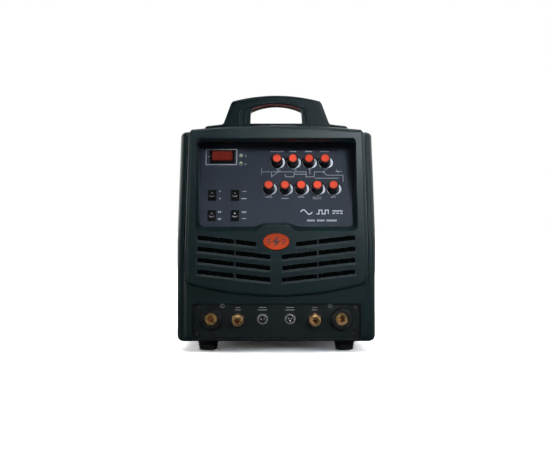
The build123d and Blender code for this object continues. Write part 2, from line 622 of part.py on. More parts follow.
def remote_sockets():
    """Round threaded sockets for the torch switch and the remote control."""
    shells, cores = [], []
    y = CONNECTOR_Y
    for side in (-1, 1):
        x, z = side * REMOTE_X, CONNECTOR_Z
        shell = forward_rod(x, z, y - 2.5, y, REMOTE_FLANGE)
        shell = chamfer(shell.faces().sort_by(Axis.Y)[0].edges(), 0.6)
        shell += forward_rod(x, z, y - 11.0, y + 10, REMOTE_THREAD)
        shell -= forward_rod(x, z, y - 12, y + 12, REMOTE_BORE)
        shells.append(shell)
        core = forward_rod(x, z, y - 5.0, y + 14, REMOTE_BORE)
        cores.append(core)
    keep("remote_sockets", *shells)
    keep("remote_socket_inserts", *cores)


# ---------------------------------------------------------------- sheet metal
def cover():
    """The folded cover, top and both sides in one sheet, with louvre slots low on each side."""
    gap = WALL + COVER_GAP
    shell = slab(casing_outline(gap), -COVER_END, COVER_END)
    shell -= slab(casing_outline(gap + SHEET), -COVER_END - 1, COVER_END + 1)
    shell -= block(-200, 200, -COVER_END - 1, COVER_END + 1, 0, COVER_LOW)
    slot = Plane.YZ * SlotOverall(LOUVRE_LONG, LOUVRE_HIGH)
    for column in (-1, 1):
        for row in range(LOUVRE_ROWS):
            place = Pos(0, column * LOUVRE_Y, LOUVRE_LOW_Z + LOUVRE_PITCH * row)
            shell -= place * extrude(slot, amount=210, both=True)
    for x, y, z in cover_screw_places():
        shell -= Pos(x, y, z) * Rot(0, 90, 0) * Cylinder(SCREW_HOLE, 12)
    keep("cover", shell)


def cover_screw_places():
    """Screws along the lower edge of the cover, three on each side."""
    side = BODY_WIDTH / 2 - WALL - COVER_GAP
    return [(sign * side, y, COVER_SCREW_Z) for sign in (-1, 1) for y in COVER_SCREW_Y]


def base_tray():
    """The chassis floor, folded up at both sides inside the cover."""
    side = BODY_WIDTH / 2 - WALL - COVER_GAP - SHEET - 0.2
    floor = block(-side + 8, side - 8, -TRAY_END, TRAY_END, TRAY_Z, TRAY_Z + TRAY_SHEET)
    tray = floor
    for sign in (-1, 1):
        x0, x1 = sorted((sign * side, sign * (side - TRAY_SHEET)))
        tray += block(x0, x1, -COVER_END + 2, COVER_END - 2, TRAY_Z + 8, 64)
        inner = sign * (side - 8)
        ramp = Polygon((inner, TRAY_Z), (sign * side, TRAY_Z + 8), (sign * (side - TRAY_SHEET), TRAY_Z + 9),
                       (inner, TRAY_Z + TRAY_SHEET), align=None)
        tray += slab(ramp, -COVER_END + 2, COVER_END - 2)
    for x, y, z in cover_screw_places():
        tray -= Pos(x, y, z) * Rot(0, 90, 0) * Cylinder(SCREW_HOLE, 20)
    keep("base_tray", tray)


def mid_deck():
    """The shelf that parts the wind tunnel below from the electronics above."""
    half = BODY_WIDTH / 2 - WALL - COVER_GAP - SHEET - 3
    deck = block(-half, half, -DECK_END, DECK_END, DECK_Z, DECK_Z + SHEET)
    for sign in (-1, 1):
        x0, x1 = sorted((sign * half, sign * (half - SHEET)))
        deck += block(x0, x1, -DECK_END, DECK_END, DECK_Z - 14, DECK_Z)
    keep("mid_deck", deck)


def rear_panel():
    """The steel plate at the back: fan mouth, breaker window and holes for the fittings."""
    y1 = REAR_PANEL_Y
    y0 = y1 - REAR_PANEL_THICK
    plate = Rectangle(2 * REAR_HALF + 14, REAR_TOP - REAR_LOW + 14)
    plate = slab(Pos(0, (REAR_TOP + REAR_LOW) / 2) * plate, y0, y1)
    plate -= forward_rod(0, FAN_Z, y0 - 1, y1 + 1, FAN_BORE)
    half_x, half_z = BREAKER_HALF_WIDE + 0.3, BREAKER_HALF_HIGH + 0.3
    window_low, window_high = BREAKER_Z - half_z, BREAKER_Z + half_z
    plate -= block(BREAKER_X - half_x, BREAKER_X + half_x, y0 - 1, y1 + 1, window_low, window_high)
    plate -= forward_rod(CABLE_X, CABLE_Z, y0 - 1, y1 + 1, 12.2)
    plate -= forward_rod(INLET_X, INLET_Z, y0 - 1, y1 + 1, 6.2)
    plate -= forward_rod(STUD_X, STUD_Z, y0 - 1, y1 + 1, 4.3)
    for x, z in rear_screw_places():
        plate -= forward_rod(x, z, y0 - 1, y1 + 1, SCREW_HOLE)
    keep("rear_panel", plate)


def rear_screw_places():
    return [(x, z) for x in (-138.0, 138.0) for z in (REAR_LOW + 12, REAR_TOP - 12)]


def feet():
    """Four ribbed rubber feet."""
    outline = [(0, 0), (FOOT_RADIUS - 4, 0), (FOOT_RADIUS - 2, 2), (FOOT_RADIUS - 2, 5),
               (FOOT_RADIUS - 3, 6), (FOOT_RADIUS - 1, 7.5), (FOOT_RADIUS - 1, 11),
               (FOOT_RADIUS - 2, 12), (FOOT_RADIUS, 13.5), (FOOT_RADIUS, BODY_BOTTOM), (0, BODY_BOTTOM)]
    foot = revolve(Plane.XZ * Polygon(*outline, align=None), Axis.Z)
    places = [(x, y) for x in (-FOOT_X, FOOT_X) for y in (-FOOT_Y, FOOT_Y)]
    keep("feet", *[Pos(x, y, 0) * foot for x, y in places])


def screw():
    """A pan-head screw with a cross recess; its head points along +Z from the surface at z = 0."""
    head = rod(0, 2.4, 4.2)
    head = fillet(head.edges().sort_by(Axis.Z)[-1], 1.4)
    for turn in (0, 90):
        head -= Pos(0, 0, 2.4) * Rot(0, 0, turn) * Box(4.4, 1.1, 2.6)
    return head + rod(-7.0, 0, 1.9)


def screws():
    """Every visible machine screw."""
    one = screw()
    placed = []
    for side in (-1, 1):
        for z in PLATE_SCREW_Z:
            placed.append(Pos(side * PLATE_SCREW_X, CONNECTOR_Y, z) * Rot(90, 0, 0) * one)
    for x, z in rear_screw_places():
        placed.append(Pos(x, REAR_PANEL_Y, z) * Rot(-90, 0, 0) * one)
    for x, y, z in cover_screw_places():
        placed.append(Pos(x, y, z) * Rot(0, 90 if x > 0 else -90, 0) * one)
    keep("screws", *placed)


# ---------------------------------------------------------------- rear fittings
def fan():
    """A square axial fan behind the rear panel, with its wire grille outside."""
    y1 = REAR_PANEL_Y - REAR_PANEL_THICK
    y0 = y1 - FAN_DEPTH
    half = FAN_SIZE / 2
    frame = Pos(0, FAN_Z) * fillet(Rectangle(FAN_SIZE, FAN_SIZE).vertices(), 8)
    frame = slab(frame, y0, y1) - forward_rod(0, FAN_Z, y0 - 1, y1 + 1, FAN_BORE)
    for turn in (45, 135):
        arm = Pos(0, y0 + 2.5, FAN_Z) * Rot(0, turn, 0) * Box(2 * FAN_BORE + 4, 5, 7)
        frame += arm
    frame += forward_rod(0, FAN_Z, y0, y0 + 6, 24.0)
    frame -= forward_rod(0, FAN_Z, y0 - 1, y0 + 7, SHAFT_RADIUS + RUN_CLEARANCE)
    keep("fan_frame", frame)

    hub_front, hub_back = y0 + 8, y1 - 3
    rotor = forward_rod(0, FAN_Z, hub_front, hub_back, 27.0)
    rotor = fillet(rotor.faces().sort_by(Axis.Y)[-1].edges(), 3)
    for i in range(FAN_BLADES):
        blade = Pos(45.5, 0, 0) * Rot(35, 0, 0) * Box(43, 30, 2.0)
        rotor += Pos(0, (hub_front + hub_back) / 2, FAN_Z) * Rot(0, 360 / FAN_BLADES * i, 0) * blade
    rotor &= forward_rod(0, FAN_Z, hub_front, hub_back, FAN_BORE - 2.5)
    rotor += forward_rod(0, FAN_Z, y0 + 1, hub_front + 1, SHAFT_RADIUS)
    keep("fan_rotor", rotor)

    g0, g1 = REAR_PANEL_Y, REAR_PANEL_Y + 3.0
    grille = forward_rod(0, FAN_Z, g0, g1, 10.0)
    for i in range(6):
        radius = 22.0 + 11.0 * i
        grille += forward_rod(0, FAN_Z, g0, g1, radius) - forward_rod(0, FAN_Z, g0 - 1, g1 + 1, radius - 2.4)
    for turn in (0, 90):
        bar = Pos(0, (g0 + g1) / 2, FAN_Z) * Rot(0, turn + 45, 0) * Box(154, 3.0, 2.6)
        grille += bar
    keep("fan_grille", grille)


def breaker():
    """The mains breaker: a block through the rear panel and a lever that tips up and down."""
    y1 = REAR_PANEL_Y + 7.0
    half_x, half_z = BREAKER_HALF_WIDE, BREAKER_HALF_HIGH
    y0 = REAR_PANEL_Y - BREAKER_DEEP
    body = block(BREAKER_X - half_x, BREAKER_X + half_x, y0, y1, BREAKER_Z - half_z, BREAKER_Z + half_z)
    body = chamfer(body.faces().sort_by(Axis.Y)[-1].edges(), 1.5)
    body += block(BREAKER_X - 15, BREAKER_X + 15, y1, y1 + 5, BREAKER_Z - 16, BREAKER_Z + 16)
    axis_y = y1 - 2.0
    across = Pos(BREAKER_X, axis_y, BREAKER_Z) * Rot(0, 90, 0)
    body -= across * Cylinder(11.4, 22.6)
    body -= across * Cylinder(2.0 + RUN_CLEARANCE, 27.0)
    keep("breaker", body)
    lever = across * Cylinder(11.0, 22.0) + across * Cylinder(2.0, 26.4)
    stick = block(BREAKER_X - 9, BREAKER_X + 9, axis_y + 6, axis_y + 25, BREAKER_Z - 3, BREAKER_Z + 3)
    stick = fillet(stick.edges().filter_by(Axis.X), 2)
    stick = Pos(0, axis_y, BREAKER_Z) * Rot(-BREAKER_REST, 0, 0) * Pos(0, -axis_y, -BREAKER_Z) * stick
    keep("breaker_lever", lever + stick)


def mains_cable():
    """A short length of mains cable, with its moulded-on strain relief, that hangs down."""
    y = REAR_PANEL_Y
    drop_y = -(CONNECTOR_Y - COUPLING_REACH) - CABLE_RADIUS
    relief = forward_rod(CABLE_X, CABLE_Z, y - 14, y, 12.0) + forward_rod(CABLE_X, CABLE_Z, y, y + 4, 15.0)
    relief += Pos(CABLE_X, y + 10, CABLE_Z) * Rot(-90, 0, 0) * Cone(13.0, 9.5, 12.0)
    corner = (CABLE_X, drop_y, CABLE_Z)
    path = Polyline((CABLE_X, y - 40, CABLE_Z), corner, (CABLE_X, drop_y, CABLE_END_Z))
    path = fillet(path.vertices().sort_by_distance(corner)[0:1], CABLE_BEND)
    cable = sweep(Plane(origin=path @ 0, z_dir=path % 0) * Circle(CABLE_RADIUS), path=path)
    keep("mains_cable", relief + cable)


def earth_stud():
    """The earthing bolt with its nut and washer."""
    y = REAR_PANEL_Y
    bolt = forward_rod(STUD_X, STUD_Z, y - 10, y + 24, 4.0)
    bolt = chamfer(bolt.faces().sort_by(Axis.Y)[-1].edges(), 0.8)
    bolt += forward_rod(STUD_X, STUD_Z, y, y + 1.6, 9.0)
    bolt += forward_hexagon(STUD_X, STUD_Z, y + 1.6, y + 8.0, 13.0)
    keep("earth_stud", bolt)


# ---------------------------------------------------------------- inside
def gas_valve():
    """The solenoid valve on the gas line, with its sliding plunger."""
    y1 = REAR_PANEL_Y - 22
    body = block(INLET_X - 20, INLET_X + 20, y1 - 44, y1, INLET_Z - 18, INLET_Z + 18)
    coil_z = INLET_Z + 18
    body += Pos(INLET_X, y1 - 22, coil_z + 20) * Cylinder(16, 40)
    bore = Pos(INLET_X, y1 - 22, coil_z + 10) * Cylinder(5 + RUN_CLEARANCE, 46)
    body -= bore
    keep("gas_valve", body)
    plunger = Pos(INLET_X, y1 - 22, coil_z + 8) * Cylinder(5, 32)
    keep("valve_plunger", plunger)


def finned_block(x0, x1, y0, y1, z0, z1):
    """An extruded heat sink: fins run along the wind tunnel."""
    body = block(x0, x1, y0, y1, z0, z0 + 8)
    count = 13
    pitch = (x1 - x0 - 2) / (count - 1)
    for i in range(count):
        x = x0 + pitch * i
        body += block(x, x + 2, y0, y1, z0 + 8, z1)
    return body


def heatsinks():
    parts = [finned_block(x0, x0 + 118, -160, -10, 40, 118) for x0 in (-158, 40)]
    keep("heatsinks", *parts)


def main_transformer():
    """Ferrite core with two windings."""
    core = block(-52, 52, 20, 70, 40, 150) - block(-28, -10, 0, 90, 62, 128) - block(10, 28, 0, 90, 62, 128)
    winding = block(-27, 27, 4, 86, 64, 126) - block(-10, 10, 20, 70, 60, 130)
    winding -= block(-60, 60, 20, 70, 60, 63)
    keep("main_transformer", core, winding)


def output_choke():
    """A toroidal choke lying on the tray."""
    keep("output_choke", Pos(112, 96, 72) * Torus(34, 20))


def inverter_board():
    """The power board on the shelf and its row of reservoir capacitors."""
    board_z = DECK_Z + 12
    board = block(-150, 150, -150, 120, board_z, board_z + 1.8)
    for i in range(6):
        can = fillet(rod(board_z + 1.8, board_z + 61, 17).edges().sort_by(Axis.Z)[-1], 2)
        board += Pos(-120 + 44 * i, 70, 0) * can
    for x in (-140, 140):
        for y in (-140, 110):
            board += Pos(x, y, 0) * rod(DECK_Z + 1.5, board_z, 4)
    keep("inverter_board", board)


# ---------------------------------------------------------------- build and write
def build():
    front_fascia()
    badge()
    rear_fascia()
    handles()
    control_panel()
    knobs()
    display()
    indicator_lamps()
    rockers()
    control_board()
    connector_panel()
    output_sockets()
    gas_fittings()
    remote_sockets()
    cover()
    base_tray()
    mid_deck()
    rear_panel()
    feet()
    screws()
    fan()
    breaker()
    mains_cable()
    earth_stud()
    gas_valve()
    heatsinks()
    main_transformer()
    output_choke()
    inverter_board()


def write():
    os.makedirs("parts", exist_ok=True)
    for name, solids in NODES.items():
        export_step(Compound(solids), f"parts/{name}.step")


build()
write()
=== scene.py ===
"""The looks of an inverter TIG welding machine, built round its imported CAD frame.

Blender works in metres here. Sizes below are in millimetres and pass through MM, unless a comment says
metres. The front faces -Y, +Z is up and +X is the right-hand side seen from the front.
"""

import json
import math

import bmesh
import bpy
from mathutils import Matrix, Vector


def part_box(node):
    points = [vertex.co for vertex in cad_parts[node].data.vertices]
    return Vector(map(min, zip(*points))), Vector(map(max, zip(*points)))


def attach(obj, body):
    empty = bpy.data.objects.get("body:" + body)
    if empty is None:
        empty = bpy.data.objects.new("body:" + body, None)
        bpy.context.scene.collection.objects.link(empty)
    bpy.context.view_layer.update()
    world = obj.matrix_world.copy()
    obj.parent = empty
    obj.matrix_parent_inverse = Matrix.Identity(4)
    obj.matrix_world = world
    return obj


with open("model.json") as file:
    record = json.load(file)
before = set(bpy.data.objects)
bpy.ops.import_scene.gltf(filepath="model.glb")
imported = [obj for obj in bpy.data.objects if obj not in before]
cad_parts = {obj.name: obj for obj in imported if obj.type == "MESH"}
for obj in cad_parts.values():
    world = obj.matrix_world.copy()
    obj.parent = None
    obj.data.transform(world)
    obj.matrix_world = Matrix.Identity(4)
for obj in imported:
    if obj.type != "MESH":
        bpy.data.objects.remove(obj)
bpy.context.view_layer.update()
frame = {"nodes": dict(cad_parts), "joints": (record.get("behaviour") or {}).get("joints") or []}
NODES = frame["nodes"]
JOINTS = {joint["name"]: joint for joint in frame["joints"]}
MM = 0.001
ROOT = "chassis"

# ---------------------------------------------------------------- layout of the printed graphics
PRINT_HEIGHT = 0.08          # ink stands this far above its surface
PRINT_SINK = 0.02            # ink on the badge and the rockers starts this far below their faces
LINE_WIDTH = 0.55
KNOB_1_U, KNOB_1_V = -14.7, 88.0   # place of the first knob, measured from the foot of the panel
KNOB_FOOT = 11.5             # radius of a knob at the panel
LAMP_RADIUS = 3.0
DISPLAY_V = 156.3            # middle of the display, measured up the panel
WINDOW_RAISED = 2.3          # the window sits this far above that
DIGIT_RAISED = 0.9           # the unlit digits lie this far in front of the panel
DIGIT_HEIGHT = 0.05
ROCKER_TILT = 8.0            # how far a rocker leans at rest
ROCKER_RIDGE = 1.6           # height of a rocker's middle line above its pivot
ROCKER_FACE_SLOPE = 9.6      # both halves of a rocker rise away from the middle line
CONNECTOR_PLATE = 2.5        # the connector panel's own thickness, without its folded lip

# ---------------------------------------------------------------- layout of the added pieces
RIM_OFFSET = 1.0             # from the badge's edge to the middle of its rim
RIM_HALF_WIDE, RIM_HALF_TALL = 0.85, 1.45   # half of the rim's section
LOUVRE_ROWS, LOUVRE_PITCH, LOUVRE_LOW_Z, LOUVRE_Y = 9, 14.0, 86.0, 78.0
HOOD_DEPTH, HOOD_HALF, HOOD_TALL = 3.2, 44.0, 8.4
HOOD_DROP, HOOD_SINK = 2.6, 0.15   # a hood starts below its slot, and a little inside the wall
HOOD_SHEET = 0.7             # thickness of the pressed sheet
VENT_HALF, VENT_LOW, VENT_HIGH = 154.0, 128.0, 229.0   # the near-black sheet behind the front grille that stands in for the shade inside
VENT_BACK = -268.6
PLEAT_DEEP, PLEAT_SHALLOW, PLEAT_PITCH = 5.0, 0.6, 7.0
VENT_SHADE_SHEET = 0.5

# ---------------------------------------------------------------- colours, linear
SLATE = (0.0046, 0.0150, 0.0160)
PANEL_BLUE = (0.0125, 0.0190, 0.0300)
# painted highlight for the mouldings' outer edges
EDGE_SHEEN = (0.13, 0.17, 0.19)
NEAR_BLACK = (0.0026, 0.0085, 0.0090)
BLACK = (0.0045, 0.0047, 0.0050)
ORANGE = (0.66, 0.062, 0.026)
# painted shade on the caps' rounded edges
CAP_EDGE_PAINTED_SHADE = (0.026, 0.0035, 0.0025)
BADGE_ORANGE = (0.60, 0.066, 0.014)
BADGE_INK = (0.05, 0.008, 0.004)
GRIP_RED = (0.060, 0.012, 0.009)
FILTER_RED = (0.095, 0.010, 0.007)
UNLIT_RED = (0.16, 0.022, 0.016)
LAMP_GREEN = (0.40, 0.55, 0.28)
INK = (0.62, 0.66, 0.72)
BRASS = (0.72, 0.46, 0.20)
# painted shade for the brass's bores and corners
BRASS_HOLLOW_SHADE = (0.16, 0.045, 0.010)
CHROME = (0.88, 0.89, 0.91)
# painted shade for the chrome's bores and corners
CHROME_HOLLOW_SHADE = (0.04, 0.04, 0.043)
PIN_SILVER = (0.95, 0.95, 0.95)
STEEL = (0.52, 0.52, 0.53)
ALUMINIUM = (0.62, 0.63, 0.64)
COPPER = (0.8, 0.36, 0.18)
VARNISH = (0.25, 0.08, 0.03)
FERRITE = (0.03, 0.03, 0.033)
# near-black, standing in for the shade inside the vents
VENT_SHADE_BLACK = (0.0012, 0.0018, 0.0020)
FLOOR_WHITE = (2.6, 2.6, 2.6)
FLOOR_BOUNCE = (0.10, 0.10, 0.10)

# ---------------------------------------------------------------- textures, in metres or per metre
DRIFT_SCALE, SMEAR_SCALE, SCUFF_AND_SHEEN_SCALE = 14.0, 45.0, 260.0   # noise for colour, roughness, and edge wear with its painted sheen
NOISE_ROUGHNESS = 0.55
BUMP_STRENGTH = 0.5
COAT_ROUGHNESS = 0.08
EDGE_WEAR_AND_SHEEN_REACH = 0.0012           # edges carry wear, and on the mouldings a painted sheen, about this far round
HOLLOW_SHADE_REACH = 0.009          # painted shade darkens bores and corners closer than this
CAP_ROUNDING = (0.965, 0.999)   # how squarely a cap's face meets its axis, from its edge to its flat top; painted shade on the rounded edge fades out across it
FLOOR_GLOW_REACH = (0.30, 1.1)   # the floor's glow grows between these distances from the middle

# ---------------------------------------------------------------- camera, in metres
CAMERA_PLACE = (-0.0025, -2.277, 0.246)
SENSOR_WIDE, LENS = 36.0, 68.2   # these two in millimetres


# ---------------------------------------------------------------- material building blocks
class Shader:
    """A material under construction, with short calls for the nodes that every finish shares."""

    def __init__(self, name):
        self.material = bpy.data.materials.new(name)
        self.material.use_nodes = True
        self.tree = self.material.node_tree
        self.bsdf = self.tree.nodes["Principled BSDF"]
        places = self.node("ShaderNodeTexCoord")
        self.coordinates = places.outputs["Object"]
        self.object_normal = places.outputs["Normal"]

    def node(self, kind, **settings):
        node = self.tree.nodes.new(kind)
        for key, value in settings.items():
            setattr(node, key, value)
        return node

    def link(self, source, target):
        self.tree.links.new(source, target)

    def value(self, name, value):
        self.bsdf.inputs[name].default_value = value

    def paint(self, colour):
        """Makes a socket the base colour."""
        self.link(colour, self.bsdf.inputs["Base Color"])

    def base_colour(self):
        """The socket that gives the base colour so far."""
        return self.bsdf.inputs["Base Color"].links[0].from_socket

    def noise(self, scale, detail=3.0, stretch=(1, 1, 1)):
        """Noise with features about 1/scale metres across."""
        mapping = self.node("ShaderNodeMapping")
        mapping.inputs["Scale"].default_value = stretch
        self.link(self.coordinates, mapping.inputs["Vector"])
        noise = self.node("ShaderNodeTexNoise")
        noise.inputs["Scale"].default_value = scale
        noise.inputs["Detail"].default_value = detail
        noise.inputs["Roughness"].default_value = NOISE_ROUGHNESS
        self.link(mapping.outputs["Vector"], noise.inputs["Vector"])
        return noise.outputs["Fac"]

    def cells(self, scale):
        """Distance to the nearest of many scattered points: a pebbled grain."""
        cells = self.node("ShaderNodeTexVoronoi")
        cells.inputs["Scale"].default_value = scale
        self.link(self.coordinates, cells.inputs["Vector"])
        return cells.outputs["Distance"]

    def remap(self, source, low, high, from_low=0.3, from_high=0.7):
        """Stretches a value that runs between from_low and from_high to low and high."""
        node = self.node("ShaderNodeMapRange")
        node.inputs["From Min"].default_value = from_low
        node.inputs["From Max"].default_value = from_high
        node.inputs["To Min"].default_value = low
        node.inputs["To Max"].default_value = high
        self.link(source, node.inputs["Value"])
        return node.outputs["Result"]

    def blend(self, factor, first, second):
        """Mixes two colours, each a socket or an (r, g, b)."""
        node = self.node("ShaderNodeMix", data_type="RGBA")
        self.link(factor, node.inputs["Factor"])
        for colour, socket in ((first, node.inputs[6]), (second, node.inputs[7])):
            if isinstance(colour, tuple):
                socket.default_value = (*colour, 1)
            else:
                self.link(colour, socket)
        return node.outputs[2]

    def edges(self, radius):
        """About 0 on flat ground and 1 on an outer edge, within the given radius in metres."""
        bevel = self.node("ShaderNodeBevel", samples=4)
        bevel.inputs["Radius"].default_value = radius
        geometry = self.node("ShaderNodeNewGeometry")
        dot = self.node("ShaderNodeVectorMath", operation="DOT_PRODUCT")
        self.link(bevel.outputs["Normal"], dot.inputs[0])
        self.link(geometry.outputs["Normal"], dot.inputs[1])
        return self.remap(dot.outputs["Value"], 1.0, 0.0, 0.72, 0.98)

    def paint_hollow_shade(self, colour, reach):
        """Paints shade: lays a colour into corners and bores that are closed in within the given reach, in
        metres.
        """
        open_sky = self.node("ShaderNodeAmbientOcclusion", samples=6)
        open_sky.inputs["Distance"].default_value = reach
        openness = self.remap(open_sky.outputs["AO"], 0, 1, 0.35, 0.8)
        self.paint(self.blend(openness, colour, self.base_colour()))

    def bump(self, height, strength, distance):
        """Raises the surface by a height map; distance is in metres."""
        node = self.node("ShaderNodeBump")
        node.inputs["Strength"].default_value = strength
        node.inputs["Distance"].default_value = distance
        self.link(height, node.inputs["Height"])
        self.link(node.outputs["Normal"], self.bsdf.inputs["Normal"])


def shade(colour, factor):
    """A colour made lighter or darker."""
    return tuple(min(1.0, channel * factor) for channel in colour)


def finish(name, colour, rough=(0.4, 0.55), grain=1400.0, grain_depth=0.00006, metallic=0.0,
           variation=0.12, wear_and_sheen=0.0, wear_and_sheen_colour=None, coat=0.0, pebbled=False, stretch=(1, 1, 1)):
    """The shared recipe: drifting colour, uneven roughness, fine grain, and worn edges, which on some
    finishes are a painted edge sheen.
    """
    shader = Shader(name)
    drift = shader.noise(DRIFT_SCALE, detail=4.0)
    darker, lighter = shade(colour, 1 - variation), shade(colour, 1 + variation)
    base = shader.blend(shader.remap(drift, 0, 1), darker, lighter)
    if wear_and_sheen:
        scuffs_and_sheen_breakup = shader.noise(SCUFF_AND_SHEEN_SCALE, detail=5.0)
        edge_wear_and_sheen = shader.node("ShaderNodeMath", operation="MULTIPLY")
        shader.link(shader.edges(EDGE_WEAR_AND_SHEEN_REACH), edge_wear_and_sheen.inputs[0])
        shader.link(shader.remap(scuffs_and_sheen_breakup, 0.2 * wear_and_sheen, wear_and_sheen, 0.4, 0.65), edge_wear_and_sheen.inputs[1])
        base = shader.blend(edge_wear_and_sheen.outputs[0], base, wear_and_sheen_colour or shade(colour, 2.2))
    shader.paint(base)
    smears = shader.noise(SMEAR_SCALE, detail=5.0, stretch=stretch)
    shader.link(shader.remap(smears, *rough), shader.bsdf.inputs["Roughness"])
    height = shader.cells(grain) if pebbled else shader.noise(grain, detail=2.0, stretch=stretch)
    shader.bump(height, BUMP_STRENGTH, grain_depth)
    shader.value("Metallic", metallic)
    shader.value("Coat Weight", coat)
    shader.value("Coat Roughness", COAT_ROUGHNESS)
    return shader


# ---------------------------------------------------------------- the finishes
def moulded_plastic(name, colour=SLATE, gloss=0.25):
    """Dark slate moulding with a fine eroded texture and a painted highlight along its edges."""
    # the edge mask paints a light sheen along every outer edge, standing in for highlights
    shader = finish(name, colour, rough=(0.28, 0.31), grain=1500.0, grain_depth=0.000015,
                    variation=0.08, wear_and_sheen=0.9, wear_and_sheen_colour=EDGE_SHEEN, pebbled=True)
    shader.value("Specular IOR Level", gloss)
    return shader.material


def powder_coat(name, colour, rough=(0.42, 0.55)):
    """Powder-coated sheet metal: orange-peel ripples and a few scuffed edges."""
    shader = finish(name, colour, rough=rough, grain=700.0, grain_depth=0.00007, variation=0.07,
                    wear_and_sheen=0.45, wear_and_sheen_colour=shade(colour, 2.6), pebbled=True)
    shader.value("Specular IOR Level", 0.22)
    return shader.material


def panel_paint():
    """Satin blue-grey screen-printed panel."""
    shader = finish("panel_paint", PANEL_BLUE, rough=(0.42, 0.52), grain=900.0, grain_depth=0.00002,
                    variation=0.06, wear_and_sheen=0.2)
    shader.value("Specular IOR Level", 0.34)
    return shader.material


def black_plastic(name, rough=(0.28, 0.42), colour=BLACK, gloss=0.28, wear_and_sheen=0.6):
    """Small black mouldings: switches, sockets, knobs and the badge's rim."""
    shader = finish(name, colour, rough=rough, grain=1800.0, grain_depth=0.00003, variation=0.15,
                    wear_and_sheen=wear_and_sheen, wear_and_sheen_colour=shade(colour, 8.0))
    shader.value("Specular IOR Level", gloss)
    return shader.material


def orange_plastic():
    """Orange caps, with painted shade darkening them to a near-black red where their edge rounds over."""
    shader = finish("orange_caps", ORANGE, rough=(0.30, 0.48), grain=2200.0, grain_depth=0.00003,
                    variation=0.06)
    shader.value("Specular IOR Level", 0.25)
    top = shader.base_colour()
    direction = shader.node("ShaderNodeVectorMath", operation="DOT_PRODUCT")
    direction.inputs[1].default_value = Vector(JOINTS["knob_1_turn"]["axis"]).normalized()
    shader.link(shader.object_normal, direction.inputs[0])
    facing = shader.remap(direction.outputs["Value"], 0, 1, *CAP_ROUNDING)
    # painted shade: the cap's rounded edge, turning away from its axis, is coloured near-black red
    shader.paint(shader.blend(facing, CAP_EDGE_PAINTED_SHADE, top))
    return shader.material


def badge_enamel():
    """Orange badge under a clear dome, deeper red towards its top."""
    shader = finish("badge_enamel", BADGE_ORANGE, rough=(0.32, 0.36), grain=600.0, grain_depth=0.000004,
                    variation=0.04)
    plain = shader.base_colour()
    split = shader.node("ShaderNodeSeparateXYZ")
    shader.link(shader.coordinates, split.inputs[0])
    low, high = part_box("badge")
    height = shader.remap(split.outputs["Z"], 0, 1, low[2], high[2])
    shader.value("Specular IOR Level", 0.12)
    shader.paint(shader.blend(height, plain, shade(BADGE_ORANGE, 0.55)))
    return shader.material


def rubber(name, colour, rough=(0.62, 0.78)):
    """Matt rubber with a dusty, slightly mottled skin."""
    shader = finish(name, colour, rough=rough, grain=900.0, grain_depth=0.00009, variation=0.2,
                    wear_and_sheen=0.4, wear_and_sheen_colour=shade(colour, 2.5), pebbled=True)
    shader.value("Specular IOR Level", 0.2)
    return shader.material


def turned_metal(name, colour, rough=(0.2, 0.36), tarnish=0.18, hollow_shade=None):
    """Turned or plated metal: fine tool rings, a mottled tarnish, and perhaps painted shade in its bores.
    """
    shader = finish(name, colour, rough=rough, grain=120.0, grain_depth=0.00001, metallic=1.0,
                    variation=tarnish, wear_and_sheen=0.5, wear_and_sheen_colour=shade(colour, 1.4), stretch=(1, 24, 1))
    # painted shade: ambient occlusion darkens the bores and corners
    if hollow_shade:
        shader.paint_hollow_shade(hollow_shade, HOLLOW_SHADE_REACH)
    return shader.material


def window_red():
    """Dark red display filter, glossy over an unlit display, with a faint painted red glow."""
    shader = finish("window_red", FILTER_RED, rough=(0.12, 0.2), grain=500.0, grain_depth=0.000004,
                    variation=0.15, coat=0.3)
    # painted glow: a faint red emission, though the display is unlit
    shader.value("Emission Color", (0.35, 0.03, 0.02, 1))
    shader.value("Emission Strength", 0.10)
    return shader.material


def lamp_lens():
    """Pale green diffusing lens of an indicator lamp."""
    shader = finish("lamp_lens", LAMP_GREEN, rough=(0.2, 0.3), grain=900.0, grain_depth=0.00002,
                    variation=0.08, coat=0.4)
    shader.value("Transmission Weight", 0.15)
    return shader.material


def ink(name="white_ink", colour=INK):
    """Screen-printed ink, a little uneven."""
    shader = finish(name, colour, rough=(0.45, 0.6), grain=2600.0, grain_depth=0.00002, variation=0.08)
    return shader.material


def circuit_board():
    """Green solder mask over a faint web of tracks."""
    shader = Shader("circuit_board")
    tracks = shader.node("ShaderNodeTexBrick", offset=0.5)
    tracks.inputs["Scale"].default_value = 90.0
    tracks.inputs["Color1"].default_value = (0.012, 0.07, 0.03, 1)
    tracks.inputs["Color2"].default_value = (0.016, 0.09, 0.04, 1)
    tracks.inputs["Mortar"].default_value = (0.03, 0.14, 0.06, 1)
    shader.link(shader.coordinates, tracks.inputs["Vector"])
    shader.paint(tracks.outputs["Color"])
    shader.link(shader.remap(shader.noise(80.0), 0.25, 0.4), shader.bsdf.inputs["Roughness"])
    shader.bump(tracks.outputs["Fac"], 0.4, 0.00005)
    return shader.material


def assign(material, *names):
    """Gives CAD nodes a finish."""
    for name in names:
        for slot in NODES[name].material_slots:
            slot.material = material


